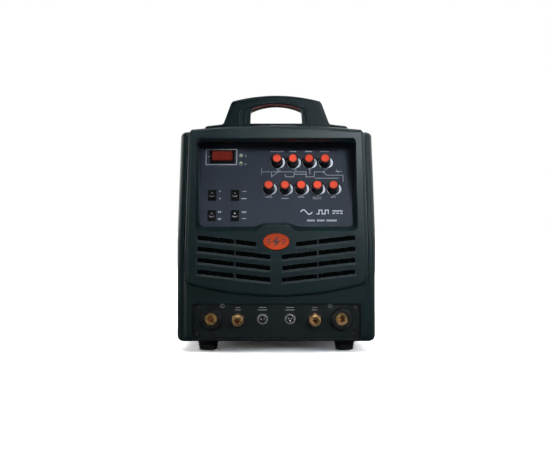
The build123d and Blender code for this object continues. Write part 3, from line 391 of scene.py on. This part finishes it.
def dress_cad_nodes():
    """Every CAD node stays visible and gets its finish here."""
    knobs = [f"knob_{number}" for number in range(1, 10)]
    caps = [f"knob_cap_{number}" for number in range(1, 10)]
    rockers = [f"rocker_{number}" for number in range(1, 5)]
    assign(moulded_plastic("slate_moulding"), "front_fascia", "rear_fascia")
    assign(moulded_plastic("handle_moulding", shade(SLATE, 0.6), gloss=0.07), "front_handle", "rear_handle")
    assign(powder_coat("cover_coat", SLATE), "cover")
    assign(powder_coat("rear_coat", shade(SLATE, 0.8)), "rear_panel")
    assign(powder_coat("chassis_coat", shade(SLATE, 0.7)), "base_tray", "mid_deck")
    assign(powder_coat("connector_coat", NEAR_BLACK, rough=(0.36, 0.5)), "connector_panel")
    assign(panel_paint(), "control_panel")
    assign(window_red(), "display_window")
    assign(lamp_lens(), "indicator_lamps")
    assign(black_plastic("gloss_black", rough=(0.18, 0.3)), "display_module", "rocker_frames", *rockers)
    assign(black_plastic("knob_black", rough=(0.2, 0.3), colour=shade(BLACK, 0.5), gloss=0.10, wear_and_sheen=0.12),
           *knobs)
    assign(orange_plastic(), *caps)
    assign(badge_enamel(), "badge")
    assign(black_plastic("socket_black", rough=(0.3, 0.45)), "output_socket_bodies",
           "remote_socket_inserts", "breaker", "breaker_lever", "fan_frame", "fan_rotor")
    assign(turned_metal("brass", BRASS, hollow_shade=BRASS_HOLLOW_SHADE), "output_socket_inserts", "gas_fittings",
           "gas_valve")
    assign(turned_metal("chrome", CHROME, rough=(0.19, 0.29), tarnish=0.1, hollow_shade=CHROME_HOLLOW_SHADE),
           "remote_sockets")
    assign(turned_metal("zinc", STEEL, rough=(0.28, 0.42)), "fan_grille", "earth_stud", "valve_plunger",
           "potentiometers")
    assign(turned_metal("black_oxide", shade(STEEL, 0.09), rough=(0.32, 0.5)), "screws")
    assign(turned_metal("extrusion", ALUMINIUM, rough=(0.35, 0.5), tarnish=0.08), "heatsinks")
    assign(rubber("foot_rubber", BLACK), "feet")
    assign(rubber("cable_rubber", BLACK, rough=(0.5, 0.65)), "mains_cable")
    assign(rubber("grip_rubber", GRIP_RED), "handle_grips")
    assign(finish("ferrite", FERRITE, rough=(0.5, 0.7)).material, "main_transformer")
    assign(finish("varnished_copper", VARNISH, rough=(0.25, 0.4), grain=420.0, grain_depth=0.0004).material,
           "output_choke")
    assign(circuit_board(), "control_board", "inverter_board")


# ---------------------------------------------------------------- flat prints
class Sheet:
    """A plane to print on: points are (u, v) in millimetres, raised along the normal."""

    def __init__(self, origin, across, up, normal):
        self.origin, self.across = Vector(origin), Vector(across)
        self.up, self.normal = Vector(up), Vector(normal)

    def point(self, u, v, raised=0.0):
        return self.origin + (self.across * u + self.up * v + self.normal * raised) * MM


def control_sheet():
    """The leaning control panel, worked out from the first knob's joint."""
    joint = JOINTS["knob_1_turn"]
    normal = Vector(joint["axis"]).normalized()
    across = Vector((1, 0, 0))
    up = normal.cross(across)
    foot = Vector(joint["pos_m"]) - (across * KNOB_1_U + up * KNOB_1_V) * MM
    return Sheet(foot, across, up, normal)


def wall_sheet(y):
    """An upright plane that faces forwards; u is X and v is Z."""
    return Sheet((0, y, 0), (1, 0, 0), (0, 0, 1), (0, -1, 0))


def add_prism(mesh, sheet, outline, base, height):
    """A thin closed prism over an outline."""
    lower = [mesh.verts.new(sheet.point(u, v, base)) for u, v in outline]
    upper = [mesh.verts.new(sheet.point(u, v, base + height)) for u, v in outline]
    count = len(outline)
    mesh.faces.new(upper)
    mesh.faces.new(list(reversed(lower)))
    for i in range(count):
        j = (i + 1) % count
        mesh.faces.new((lower[i], lower[j], upper[j], upper[i]))


def to_object(mesh, name, material, body=ROOT, smooth=False):
    """Turns a bmesh into a named piece that rides on a body."""
    bmesh.ops.recalc_face_normals(mesh, faces=mesh.faces)
    data = bpy.data.meshes.new(name)
    mesh.to_mesh(data)
    mesh.free()
    data.materials.append(material)
    for polygon in data.polygons:
        polygon.use_smooth = smooth
    piece = bpy.data.objects.new(name, data)
    bpy.context.scene.collection.objects.link(piece)
    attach(piece, body)
    return piece


def prints(name, sheet, outlines, material, base=0.0, height=PRINT_HEIGHT):
    """One piece made of many flat printed shapes, fixed to the chassis."""
    mesh = bmesh.new()
    for outline in outlines:
        add_prism(mesh, sheet, outline, base, height)
    to_object(mesh, name, material)


# ---------------------------------------------------------------- printed shapes
def disc(u, v, radius, steps=28):
    """A filled circle."""
    turn = 2 * math.pi / steps
    return [(u + radius * math.cos(i * turn), v + radius * math.sin(i * turn)) for i in range(steps)]


def bar(u0, v0, u1, v1):
    """A rectangle between two corners."""
    return [(u0, v0), (u1, v0), (u1, v1), (u0, v1)]


def line(points, width=LINE_WIDTH):
    """A mitred ribbon along a polyline; its ends are square."""
    left, right = [], []
    half = width / 2
    for i, (u, v) in enumerate(points):
        before = Vector(points[i]) - Vector(points[i - 1]) if i > 0 else None
        after = Vector(points[i + 1]) - Vector(points[i]) if i < len(points) - 1 else None
        first = (before or after).normalized()
        second = (after or before).normalized()
        normal = Vector((-first.y - second.y, first.x + second.x))
        normal.normalize()
        reach = half / max(0.4, normal.dot(Vector((-first.y, first.x))))
        left.append((u + normal.x * reach, v + normal.y * reach))
        right.append((u - normal.x * reach, v - normal.y * reach))
    return left + right[::-1]


def arc_band(u, v, start, end, inner, thickness, steps=40):
    """A curved band; thickness is a function of how far along it a point is, from 0 to 1."""
    outer_side, inner_side = [], []
    for i in range(steps + 1):
        part = i / steps
        angle = math.radians(start + (end - start) * part)
        direction = (math.cos(angle), math.sin(angle))
        reach = inner + thickness(part)
        outer_side.append((u + direction[0] * reach, v + direction[1] * reach))
        inner_side.append((u + direction[0] * inner, v + direction[1] * inner))
    return outer_side + inner_side[::-1]


def even(width):
    """A band thickness that is the same all along."""
    return lambda part: width


def ring(u, v, radius, width=LINE_WIDTH):
    """A circle drawn as two half bands."""
    inner = radius - width / 2
    return [arc_band(u, v, 0, 180, inner, even(width)), arc_band(u, v, 180, 360, inner, even(width))]


def word_row(u, v, half, tall):
    """A row of short plain blocks, as a stand-in for a printed word."""
    pitch, half_gap = 2.6, 0.25
    count = max(2, round(2 * half / pitch))
    step = 2 * half / count
    shapes = []
    for i in range(count):
        left = u - half + step * i
        shapes.append(bar(left + half_gap, v - tall / 2, left + step - half_gap, v + tall / 2))
    return shapes


# ---------------------------------------------------------------- the control panel's print
def panel_places(joint_names):
    """(u, v) of joints on the control panel."""
    sheet = control_sheet()
    places = []
    for name in joint_names:
        offset = Vector(JOINTS[name]["pos_m"]) - sheet.origin
        places.append((offset.dot(sheet.across) / MM, offset.dot(sheet.up) / MM))
    return places


def knob_places():
    """(u, v) of the nine knobs, lower row first."""
    return panel_places([f"knob_{number}_turn" for number in range(1, 10)])


def rocker_places():
    """(u, v) of the four rockers, upper pair first."""
    return panel_places([f"rocker_{number}_tip" for number in range(1, 5)])


def lamp_places():
    """(u, v) of the two lamps, lower first, from their node's box."""
    low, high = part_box("indicator_lamps")
    sheet = control_sheet()
    u = (low[0] + high[0]) / 2 / MM
    ends = []
    for corner in (low, high):
        offset = Vector((0, (low[1] + high[1]) / 2, corner[2])) - sheet.origin
        ends.append(offset.z / sheet.up.z / MM)
    return [(u, ends[0] + LAMP_RADIUS), (u, ends[1] - LAMP_RADIUS)]


def knob_scales():
    """The crescent round each knob: a hairline on the left that swells on the right."""
    start, end, inner = 232.0, -62.0, KNOB_FOOT + 0.4
    hairline, swell, swell_start = 0.45, 3.9, 0.42

    def width(part):
        bulge = max(0.0, (part - swell_start) / (1 - swell_start))
        return hairline + swell * math.sin(math.pi * bulge ** 1.5)

    return [arc_band(u, v, start, end, inner, width) for u, v in knob_places()]


def knob_ticks():
    """Three short strokes at the end of each crescent."""
    inner, outer, width = KNOB_FOOT + 1.0, KNOB_FOOT + 3.2, 0.7
    shapes = []
    for u, v in knob_places():
        for angle in (-66.0, -78.0, -90.0):
            out = Vector((math.cos(math.radians(angle)), math.sin(math.radians(angle))))
            start, end = out * inner, out * outer
            shapes.append(line([(u + start.x, v + start.y), (u + end.x, v + end.y)], width))
    return shapes


def knob_labels():
    """A row of blocks at each knob, where its function would be named."""
    places = knob_places()
    lower_row, upper_row = places[:5], places[5:]
    lower_labels = ((6.8, -16.8), (7.2, -19.6), (6.2, -16.8), (8.8, -16.8), (4.9, -16.8))
    shapes = []
    for (u, v), (half, offset) in zip(lower_row, lower_labels):
        shapes += word_row(u, v + offset, half, 1.6)
    u, v = lower_row[3]
    second_line = -20.2
    shapes += word_row(u, v + second_line, 8.3, 1.4)
    upper_offset = 24.4
    for (u, v), half in zip(upper_row, (13.0, 7.0, 7.0, 9.0)):
        shapes += word_row(u, v + upper_offset, half, 1.7)
    return shapes


def cycle_diagram():
    """The generic weld cycle drawn between the knob rows: slopes, pulses and the end marks."""
    low, mid, high, ring_v = 114.0, 119.6, 124.6, 129.7
    tail, foot = 117.5, 111.2
    u0 = KNOB_1_U - 14.3
    stroke, ring_radius = 0.8, 1.7
    paths = [
        [(u0, high + 8.0), (u0, high - 6.2)],
        [(u0, high), (u0 + 17.6, high)],
        [(u0 + 37.0, high + 3.4), (u0 + 19.6, low), (u0 + 19.6, high), (u0 + 62.0, high)],
        [(u0 + 46.2, mid), (u0 + 47.2, low), (u0 + 62.9, low), (u0 + 64.9, high), (u0 + 87.6, high),
         (u0 + 87.6, low), (u0 + 103.2, low), (u0 + 104.3, high), (u0 + 120.5, high), (u0 + 128.8, tail),
         (u0 + 160.2, tail), (u0 + 160.2, 103.0)],
        [(u0 + 64.9, mid), (u0 + 87.6, mid)],
        [(u0 + 95.1, mid - 0.6), (u0 + 95.1, high + 8.3)],
        [(u0 + 105.0, foot), (u0 + 151.4, foot)],
        [(u0 + 145.7, high + 0.8), (u0 + 158.5, high + 0.8)],
        [(u0 + 147.8, high + 5.0), (u0 + 151.6, mid + 2.6)],
    ]
    shapes = [line(path, stroke) for path in paths]
    for u, v in ((u0 + 32.0, ring_v), (u0 + 66.9, ring_v), (u0 + 123.1, high + 0.8)):
        shapes += ring(u, v, ring_radius)
    return shapes


def lamp_marks():
    """A ring round each lamp and a small triangle beside it."""
    shapes = [shape for u, v in lamp_places() for shape in ring(u, v, LAMP_RADIUS + 0.6, 0.6)]
    for u, v in lamp_places():
        shapes.append([(u + 7.6, v - 1.8), (u + 10.8, v - 1.8), (u + 9.2, v + 2.0)])
    return shapes


def switch_marks():
    """Marks beside each switch, one for each of its positions."""
    left_top, right_top, left_low, right_low = rocker_places()
    shapes = []
    u, v = left_top
    for offset in (8.6, -6.7):
        shapes.append(disc(u + 15.0, v + offset, 1.4))
    u, v = right_top
    shapes += word_row(u + 18.0, v + 8.5, 4.2, 1.5)
    shapes.append(bar(u + 12.6, v - 7.6, u + 22.0, v - 5.8))
    shapes.append(bar(u + 11.6, v - 6.9, u + 23.0, v - 6.5))
    u, v = left_low
    half_tall = 1.6
    for offset in (7.9, -6.6):
        for start, end in ((12.2, 14.6), (15.4, 17.8)):
            shapes.append(bar(u + start, v + offset - half_tall, u + end, v + offset + half_tall))
    u, v = right_low
    zigzag = [(u + 13.7 + 1.4 * i, v + 7.6 + (1.5 if i % 2 else -1.5)) for i in range(7)]
    shapes.append(line(zigzag, 0.8))
    shapes.append(bar(u + 14.0, v - 6.2, u + 22.2, v - 5.2))
    return shapes


def display_frame():
    """The printed frame round the display, with a dot at its left."""
    low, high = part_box("display_module")
    centre = (low[0] + high[0]) / 2 / MM - 1.6
    middle = DISPLAY_V + 0.2
    half_u, half_v, stroke = 30.4, 16.4, 1.2
    corners = [(centre - half_u, middle - half_v), (centre + half_u, middle - half_v),
               (centre + half_u, middle + half_v), (centre - half_u, middle + half_v)]
    sides = [line([corners[i], corners[(i + 1) % 4]], stroke) for i in range(4)]
    return sides + [disc(centre - 25.8, middle + 0.6, 1.0)]


def current_symbols():
    """Generic marks for the kinds of output: a wave, a pulse train, and a bar over dashes."""
    left, middle = 47.0, 40.0
    wave_steps, wave_step, wave_tall = 24, 0.95, 4.6
    wave = [(left + i * wave_step, middle + wave_tall * math.sin(i / wave_steps * 2 * math.pi))
            for i in range(wave_steps + 1)]
    pulse_half = 4
    turns = ((31, -1), (36, -1), (36, 1), (42, 1), (42, -1), (48, -1), (48, 1), (54, 1), (54, -1))
    pulse = [(left + along, middle + side * pulse_half) for along, side in turns]
    shapes = [line(wave, 1.7), line(pulse, 1.6)]
    right, dash, dash_pitch = left + 62, 5.2, 7.4
    shapes.append(bar(right, middle + 1.4, right + 20, middle + 3.2))
    for i in range(3):
        start = right + dash_pitch * i
        shapes.append(bar(start, middle - 3.4, start + dash, middle - 1.6))
    return shapes


def output_scale():
    """A plain row of blocks under the output marks, with a gap between its three groups."""
    row_v, tall = 22.5, 3.6
    shapes = []
    for centre, half in ((67.0, 7.5), (86.0, 7.5), (107.0, 10.0)):
        shapes += word_row(centre, row_v, half, tall)
    return shapes


def digit_segments(u, v, tall, wide, stroke):
    """The seven bars of one unlit digit, leaning slightly."""
    lean, gap = 0.12, 0.35
    half, tip = tall / 2, stroke / 2
    left, right = -wide / 2 + gap, wide / 2 - gap
    outlines = []
    for y in (-half, 0, half):
        outlines.append([(left, y), (left + tip, y - tip), (right - tip, y - tip), (right, y),
                         (right - tip, y + tip), (left + tip, y + tip)])
    for x in (-wide / 2, wide / 2):
        for low in (-half, 0):
            y0, y1 = low + gap, low + half - gap
            outlines.append([(x, y0), (x + tip, y0 + tip), (x + tip, y1 - tip),
                             (x, y1), (x - tip, y1 - tip), (x - tip, y0 + tip)])
    return [[(u + x + lean * y, v + y) for x, y in outline] for outline in outlines]


def display_digits():
    """Three unlit digits in the display's window."""
    low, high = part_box("display_window")
    centre = (low[0] + high[0]) / 2 / MM
    pitch, tall, wide, stroke = 12.5, 13.5, 7.0, 1.5
    shapes = []
    for place in (-pitch, 0.0, pitch):
        shapes += digit_segments(centre + place, DISPLAY_V + WINDOW_RAISED, tall, wide, stroke)
    return shapes


def print_control_panel():
    """All the ink on the control panel, brightest where the pattern is boldest."""
    sheet = control_sheet()
    white = ink()
    patterns = (
        ("print_knob_scales", knob_scales(), white),
        ("print_knob_ticks", knob_ticks(), ink("tick_ink", shade(INK, 0.7))),
        ("print_knob_labels", knob_labels(), ink("dim_ink", shade(INK, 0.5))),
        ("print_cycle_diagram", cycle_diagram(), ink("line_ink", shade(INK, 0.62))),
        ("print_output_scale", output_scale(), ink("scale_ink", shade(INK, 0.6))),
        ("print_switch_marks", switch_marks(), ink("mark_ink", shade(INK, 0.75))),
        ("print_display_frame", display_frame(), ink("frame_ink", shade(INK, 0.65))),
        ("print_current_symbols", current_symbols(), white),
        ("print_lamp_rings", lamp_marks(), ink("lamp_ink", shade(INK, 0.5))),
    )
    for name, shapes, material in patterns:
        prints(name, sheet, shapes, material)
    segment = finish("unlit_segment", UNLIT_RED, rough=(0.15, 0.25)).material
    prints("display_digits", sheet, display_digits(), segment, DIGIT_RAISED, DIGIT_HEIGHT)


# ---------------------------------------------------------------- the other prints
def print_connector_panel():
    """Polarity circles and rows of blocks above the sockets."""
    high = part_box("connector_panel")[1]
    sheet = wall_sheet(high[1] - CONNECTOR_PLATE * MM)
    mark_x, mark_z, reach, half_stroke = 104.4, 89.0, 1.8, 0.4
    shapes = []
    for side in (-1, 1):
        x = side * mark_x
        shapes += ring(x, mark_z, 3.6, 1.2)
        shapes.append(bar(x - reach, mark_z - half_stroke, x + reach, mark_z + half_stroke))
        if side > 0:
            shapes.append(bar(x - half_stroke, mark_z - reach, x + half_stroke, mark_z + reach))
    upper_z, lower_z, tall = 86.0, 81.3, 1.5
    for x, half in ((-74.5, 5.5), (-26.6, 9.0), (26.6, 9.0), (74.5, 6.0)):
        shapes += word_row(x, upper_z, half * 0.8, tall)
        shapes += word_row(x, lower_z, half, tall)
    prints("print_connectors", sheet, shapes, ink("panel_ink", shade(INK, 0.42)))


def print_badge():
    """A plain lightning bolt between short bars, in dark ink on the badge."""
    low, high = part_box("badge")
    sheet = wall_sheet(low[1])
    z = (low[2] + high[2]) / 2 / MM
    bolt = [(4.2, 11.5), (-9.0, -1.6), (-1.2, -1.1), (-5.0, -11.5), (9.0, 2.2), (1.2, 1.6)]
    outlines = [[(x, z + dz) for x, dz in bolt]]
    bar_start, bar_tall = 10.5, 2.0
    for side in (-1, 1):
        for offset, reach in ((3.2, 17.0), (-1.0, 19.0), (-5.2, 17.0)):
            outlines.append(bar(side * bar_start, z + offset, side * reach, z + offset + bar_tall))
    dark = ink("badge_ink", BADGE_INK)
    prints("badge_symbol", sheet, outlines, dark, base=-PRINT_SINK)


def rocker_marks():
    """A dot on the upper half of each rocker and a shallow arc on the lower half; they tip with it."""
    panel = control_sheet()
    rest, lean = math.radians(-ROCKER_TILT), math.radians(ROCKER_FACE_SLOPE)
    tilted_up = panel.up * math.cos(rest) + panel.normal * math.sin(rest)
    tilted_out = panel.normal * math.cos(rest) - panel.up * math.sin(rest)
    material = ink("rocker_ink", shade(INK, 0.9))
    dot = disc(0, 3.6, 1.15)
    arc = arc_band(0, -1.6, 142, 38, 5.4, even(0.55), steps=12)
    for number in range(1, 5):
        pivot = Vector(JOINTS[f"rocker_{number}_tip"]["pos_m"])
        ridge = pivot + tilted_out * ROCKER_RIDGE * MM
        mesh = bmesh.new()
        for half, outline in ((1, dot), (-1, arc)):
            along = tilted_up * half * math.cos(lean) + tilted_out * math.sin(lean)
            outward = tilted_out * math.cos(lean) - tilted_up * half * math.sin(lean)
            face = Sheet(ridge, (half, 0, 0), along, outward)
            add_prism(mesh, face, outline, -PRINT_SINK, PRINT_HEIGHT)
        to_object(mesh, f"rocker_marks_{number}", material, f"rocker_{number}_body")


# ---------------------------------------------------------------- the added pieces
def skin(mesh, rings):
    """Joins each closed ring of points to the next one with a band of faces."""
    for first, second in zip(rings, rings[1:]):
        for i in range(len(first)):
            j = (i + 1) % len(first)
            mesh.faces.new((first[i], first[j], second[j], second[i]))


def thicken(piece, thickness):
    """Gives an open sheet a real thickness behind its face, in millimetres, and applies it."""
    modifier = piece.modifiers.new("thickness", "SOLIDIFY")
    modifier.thickness = thickness * MM
    modifier.offset = -1
    bpy.context.view_layer.objects.active = piece
    with bpy.context.temp_override(object=piece, active_object=piece, selected_objects=[piece]):
        bpy.ops.object.modifier_apply(modifier=modifier.name)


def badge_rim():
    """A round-backed black rim that fills the gap between the badge and its seat."""
    low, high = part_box("badge")
    half_x, half_z = (high[0] - low[0]) / 2 / MM, (high[2] - low[2]) / 2 / MM
    centre_z = (high[2] + low[2]) / 2
    seat = high[1] / MM
    steps, turns = 96, 10
    mesh = bmesh.new()
    sections = []
    for i in range(steps):
        angle = 2 * math.pi * i / steps
        section = []
        for j in range(turns):
            around = 2 * math.pi * j / turns
            reach = RIM_OFFSET + RIM_HALF_WIDE * math.cos(around)
            x = (half_x + reach) * math.cos(angle) * MM
            y = (seat - RIM_HALF_TALL * (1 + math.sin(around))) * MM
            z = centre_z + (half_z + reach) * math.sin(angle) * MM
            section.append(mesh.verts.new((x, y, z)))
        sections.append(section)
    skin(mesh, sections + sections[:1])
    black = black_plastic("rim_black", rough=(0.3, 0.4), gloss=0.2)
    to_object(mesh, "badge_rim", black, smooth=True)


def add_pin(mesh, x, z, y_tip, length, radius, steps=14):
    """A round pin that points forwards, with a domed tip."""
    turn = 2 * math.pi / steps
    rings = []
    for part, back in ((0.55, 0.12), (0.85, 0.35), (1.0, 0.8), (1.0, length / radius)):
        y, reach = y_tip + back * radius, radius * part
        rings.append([mesh.verts.new(((x + reach * math.cos(i * turn)) * MM,
                                      y * MM,
                                      (z + reach * math.sin(i * turn)) * MM)) for i in range(steps)])
    tip = mesh.verts.new((x * MM, y_tip * MM, z * MM))
    for i in range(steps):
        mesh.faces.new((tip, rings[0][i], rings[0][(i + 1) % steps]))
    skin(mesh, rings)
    mesh.faces.new(rings[-1])


def remote_pins():
    """Contact pins inside the round sockets: two on the left, three on the right."""
    low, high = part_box("remote_socket_inserts")
    face = low[1] / MM
    z = (low[2] + high[2]) / 2 / MM
    insert_radius, pin_circle, pin_radius, pin_length, pin_proud = 7.2, 3.1, 1.4, 5.0, 4.0
    left, right = low[0] / MM + insert_radius, high[0] / MM - insert_radius
    mesh = bmesh.new()
    for x, count, first_angle in ((left, 2, 0), (right, 3, math.pi / 2)):
        for i in range(count):
            angle = 2 * math.pi * i / count + first_angle
            pin_x, pin_z = x + pin_circle * math.cos(angle), z - pin_circle * math.sin(angle)
            add_pin(mesh, pin_x, pin_z, face - pin_proud, pin_length, pin_radius)
    plating = turned_metal("pin_plating", PIN_SILVER, rough=(0.25, 0.4))
    to_object(mesh, "remote_pins", plating, smooth=True)


def add_hood(mesh, wall, side, y0, z0, across_steps=18, down_steps=6):
    """One hood on an upright wall: deepest at its open lower edge, flush at its top and its ends."""
    columns = []
    for i in range(across_steps + 1):
        along = 2 * i / across_steps - 1
        swell = 1 - abs(along) ** 8
        column = []
        for j in range(down_steps + 1):
            part = j / down_steps
            out = HOOD_DEPTH * swell * math.cos(part * math.pi / 2) ** 0.8
            x = wall + side * (out - HOOD_SINK) * MM
            y = (y0 + along * HOOD_HALF) * MM
            z = (z0 - HOOD_DROP + part * HOOD_TALL) * MM
            column.append(mesh.verts.new((x, y, z)))
        columns.append(column)
    for first, second in zip(columns, columns[1:]):
        for j in range(down_steps):
            mesh.faces.new((first[j], second[j], second[j + 1], first[j + 1]))


def louvre_hoods():
    """Pressed hoods over the slots in both sides of the cover, open at the bottom."""
    low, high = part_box("cover")
    mesh = bmesh.new()
    for wall, side in ((low[0], -1), (high[0], 1)):
        for column in (-1, 1):
            for row in range(LOUVRE_ROWS):
                add_hood(mesh, wall, side, column * LOUVRE_Y, LOUVRE_LOW_Z + LOUVRE_PITCH * row)
    coat = NODES["cover"].material_slots[0].material
    thicken(to_object(mesh, "louvre_hoods", coat, smooth=True), HOOD_SHEET)


def vent_shade_sheet():
    """A near-black pleated sheet behind the front grille that stands in for the shade inside: one folded
    sheet across the opening.
    """
    mesh = bmesh.new()
    folds = round(2 * VENT_HALF / PLEAT_PITCH) * 2
    rows = []
    for i in range(folds + 1):
        x = -VENT_HALF + 2 * VENT_HALF * i / folds
        y = VENT_BACK - (PLEAT_DEEP if i % 2 else PLEAT_SHALLOW)
        rows.append([mesh.verts.new((x * MM, y * MM, z * MM)) for z in (VENT_LOW, VENT_HIGH)])
    for first, second in zip(rows, rows[1:]):
        mesh.faces.new((first[0], second[0], second[1], first[1]))
    # painted shade: a near-black felt sheet that keeps the vents dark
    shade_felt = finish("vent_shade_felt", VENT_SHADE_BLACK, rough=(0.9, 1.0), grain=2600.0, grain_depth=0.0002)
    shade_felt.value("Specular IOR Level", 0.05)
    thicken(to_object(mesh, "vent_shade_sheet", shade_felt.material), VENT_SHADE_SHEET)


def add_stub(mesh, x, y, z_top, z_bottom, radius, steps=16):
    """An upright round stub with a small chamfer at its lower end."""
    turn = 2 * math.pi / steps
    rings = []
    for part, z in ((1.0, z_top), (1.0, z_bottom + 0.3 * radius), (0.8, z_bottom)):
        reach = radius * part
        rings.append([mesh.verts.new(((x + reach * math.cos(i * turn)) * MM,
                                      (y + reach * math.sin(i * turn)) * MM,
                                      z * MM)) for i in range(steps)])
    skin(mesh, rings)
    mesh.faces.new(rings[0])
    mesh.faces.new(rings[-1])


def cable_cores():
    """Three insulated cores that stand a little way out of the cut end of the mains cable."""
    low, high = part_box("mains_cable")
    cable_radius, core_circle, sleeve_radius, wire_radius = 7.5, 2.9, 2.0, 1.1
    x = (low[0] + high[0]) / 2 / MM
    y, z = high[1] / MM - cable_radius, low[2] / MM
    copper = turned_metal("copper", COPPER)
    colours = (("core_brown", (0.10, 0.035, 0.015)), ("core_blue", (0.02, 0.06, 0.25)),
               ("core_green", (0.10, 0.28, 0.04)))
    for number, (name, colour) in enumerate(colours):
        angle = math.radians(90 + 120 * number)
        core_x, core_y = x + core_circle * math.cos(angle), y + core_circle * math.sin(angle)
        sleeve = rubber(name, colour, rough=(0.35, 0.5))
        for part, material, radius, top, bottom in (("sleeve", sleeve, sleeve_radius, 1.0, -7.0),
                                                    ("wire", copper, wire_radius, -6.0, -13.0)):
            mesh = bmesh.new()
            add_stub(mesh, core_x, core_y, z + top, z + bottom, radius)
            to_object(mesh, f"cable_{name}_{part}", material, smooth=True)


# ---------------------------------------------------------------- camera, lights and floor
def look_at(thing, target):
    """Turns a light so that it faces a point."""
    direction = Vector(target) - thing.location
    thing.rotation_euler = direction.to_track_quat("-Z", "Y").to_euler()


def add_area(name, place, target, size, power, colour=(1, 1, 1)):
    """A rectangular area light; lengths in metres, power in watts."""
    data = bpy.data.lights.new(name, "AREA")
    data.shape = "RECTANGLE"
    data.size, data.size_y = size
    data.energy = power
    data.color = colour
    light = bpy.data.objects.new(name, data)
    bpy.context.scene.collection.objects.link(light)
    light.location = place
    look_at(light, target)
    return light


def paper_floor():
    """White paper: bright to the camera but for a contact shadow; to the object, only a dim bounce."""
    shader = finish("paper_floor", (1.0, 1.0, 1.0), rough=(0.7, 0.9), grain=60.0, grain_depth=0.0001,
                    variation=0.01)
    tree = shader.tree
    tree.links.remove(shader.bsdf.inputs["Base Color"].links[0])
    shader.value("Base Color", (*FLOOR_WHITE, 1))
    shader.value("Specular IOR Level", 0.0)
    away = shader.node("ShaderNodeVectorMath", operation="LENGTH")
    shader.link(shader.coordinates, away.inputs[0])
    shader.value("Emission Color", (1, 1, 1, 1))
    glow = shader.remap(away.outputs["Value"], 0.0, 1.2, *FLOOR_GLOW_REACH)
    shader.link(glow, shader.bsdf.inputs["Emission Strength"])
    dim = shader.node("ShaderNodeBsdfDiffuse")
    dim.inputs["Color"].default_value = (*FLOOR_BOUNCE, 1)
    seen = shader.node("ShaderNodeLightPath")
    mix = shader.node("ShaderNodeMixShader")
    shader.link(seen.outputs["Is Camera Ray"], mix.inputs[0])
    shader.link(dim.outputs[0], mix.inputs[1])
    shader.link(shader.bsdf.outputs[0], mix.inputs[2])
    shader.link(mix.outputs[0], tree.nodes["Material Output"].inputs["Surface"])
    return shader.material


def floor():
    """A wide sheet of white paper under the feet."""
    mesh = bmesh.new()
    bmesh.ops.create_grid(mesh, x_segments=1, y_segments=1, size=30)
    data = bpy.data.meshes.new("floor")
    mesh.to_mesh(data)
    mesh.free()
    sheet = bpy.data.objects.new("floor", data)
    bpy.context.scene.collection.objects.link(sheet)
    data.materials.append(paper_floor())


def lights():
    """A narrow key from the upper right, strips for the edges, fills, and softboxes for the back."""
    cool = (0.93, 0.97, 1.08)
    key = add_area("key", (0.72, -2.6, 1.02), (0.13, -0.25, 0.46), (0.6, 0.6), 1.48, (0.94, 0.98, 1.06))
    key.data.spread = math.radians(21)
    add_area("right_strip", (1.7, -0.9, 0.75), (0.15, -0.25, 0.3), (0.45, 1.3), 7.0, cool)
    add_area("front_fill", (-1.2, -2.1, 0.45), (0.05, -0.25, 0.2), (0.9, 0.9), 8)
    add_area("overhead", (0, 0.2, 2.6), (0, 0, 0), (2.4, 2.4), 40)
    add_area("top_strip", (0, -1.0, 1.9), (0, -0.25, 0.3), (1.8, 0.15), 4.2, cool)
    add_area("rear_key", (0.9, 2.5, 1.5), (0, 0.2, 0.25), (2.6, 2.0), 56)
    add_area("rear_fill", (-1.6, 2.0, 0.9), (0, 0.1, 0.25), (2.4, 1.6), 24)
    for name, x in (("side_left", -2.4), ("side_right", 2.4)):
        add_area(name, (x, 0.7, 1.0), (0, 0.1, 0.25), (2.2, 1.6), 17)


def surround():
    """A white background for the camera that hardly lights the object."""
    world = bpy.data.worlds.new("studio")
    bpy.context.scene.world = world
    world.use_nodes = True
    tree = world.node_tree
    background = tree.nodes["Background"]
    seen = tree.nodes.new("ShaderNodeLightPath")
    mix = tree.nodes.new("ShaderNodeMix")
    mix.data_type = "FLOAT"
    mix.inputs["A"].default_value = 0.03
    mix.inputs["B"].default_value = 1.0
    tree.links.new(seen.outputs["Is Camera Ray"], mix.inputs["Factor"])
    tree.links.new(mix.outputs["Result"], background.inputs["Strength"])
    background.inputs["Color"].default_value = (1, 1, 1, 1)


def camera():
    """A level camera in front of the machine, a little below the middle of its height."""
    data = bpy.data.cameras.new("camera")
    data.sensor_width = SENSOR_WIDE
    data.lens = LENS
    viewer = bpy.data.objects.new("camera", data)
    bpy.context.scene.collection.objects.link(viewer)
    viewer.location = CAMERA_PLACE
    viewer.rotation_euler = (math.pi / 2, 0, 0)
    bpy.context.scene.camera = viewer
    bpy.context.scene.view_settings.view_transform = "Standard"


def studio():
    """Everything round the object."""
    floor()
    lights()
    surround()
    camera()


dress_cad_nodes()
print_control_panel()
print_connector_panel()
print_badge()
badge_rim()
remote_pins()
rocker_marks()
louvre_hoods()
vent_shade_sheet()
cable_cores()
studio()
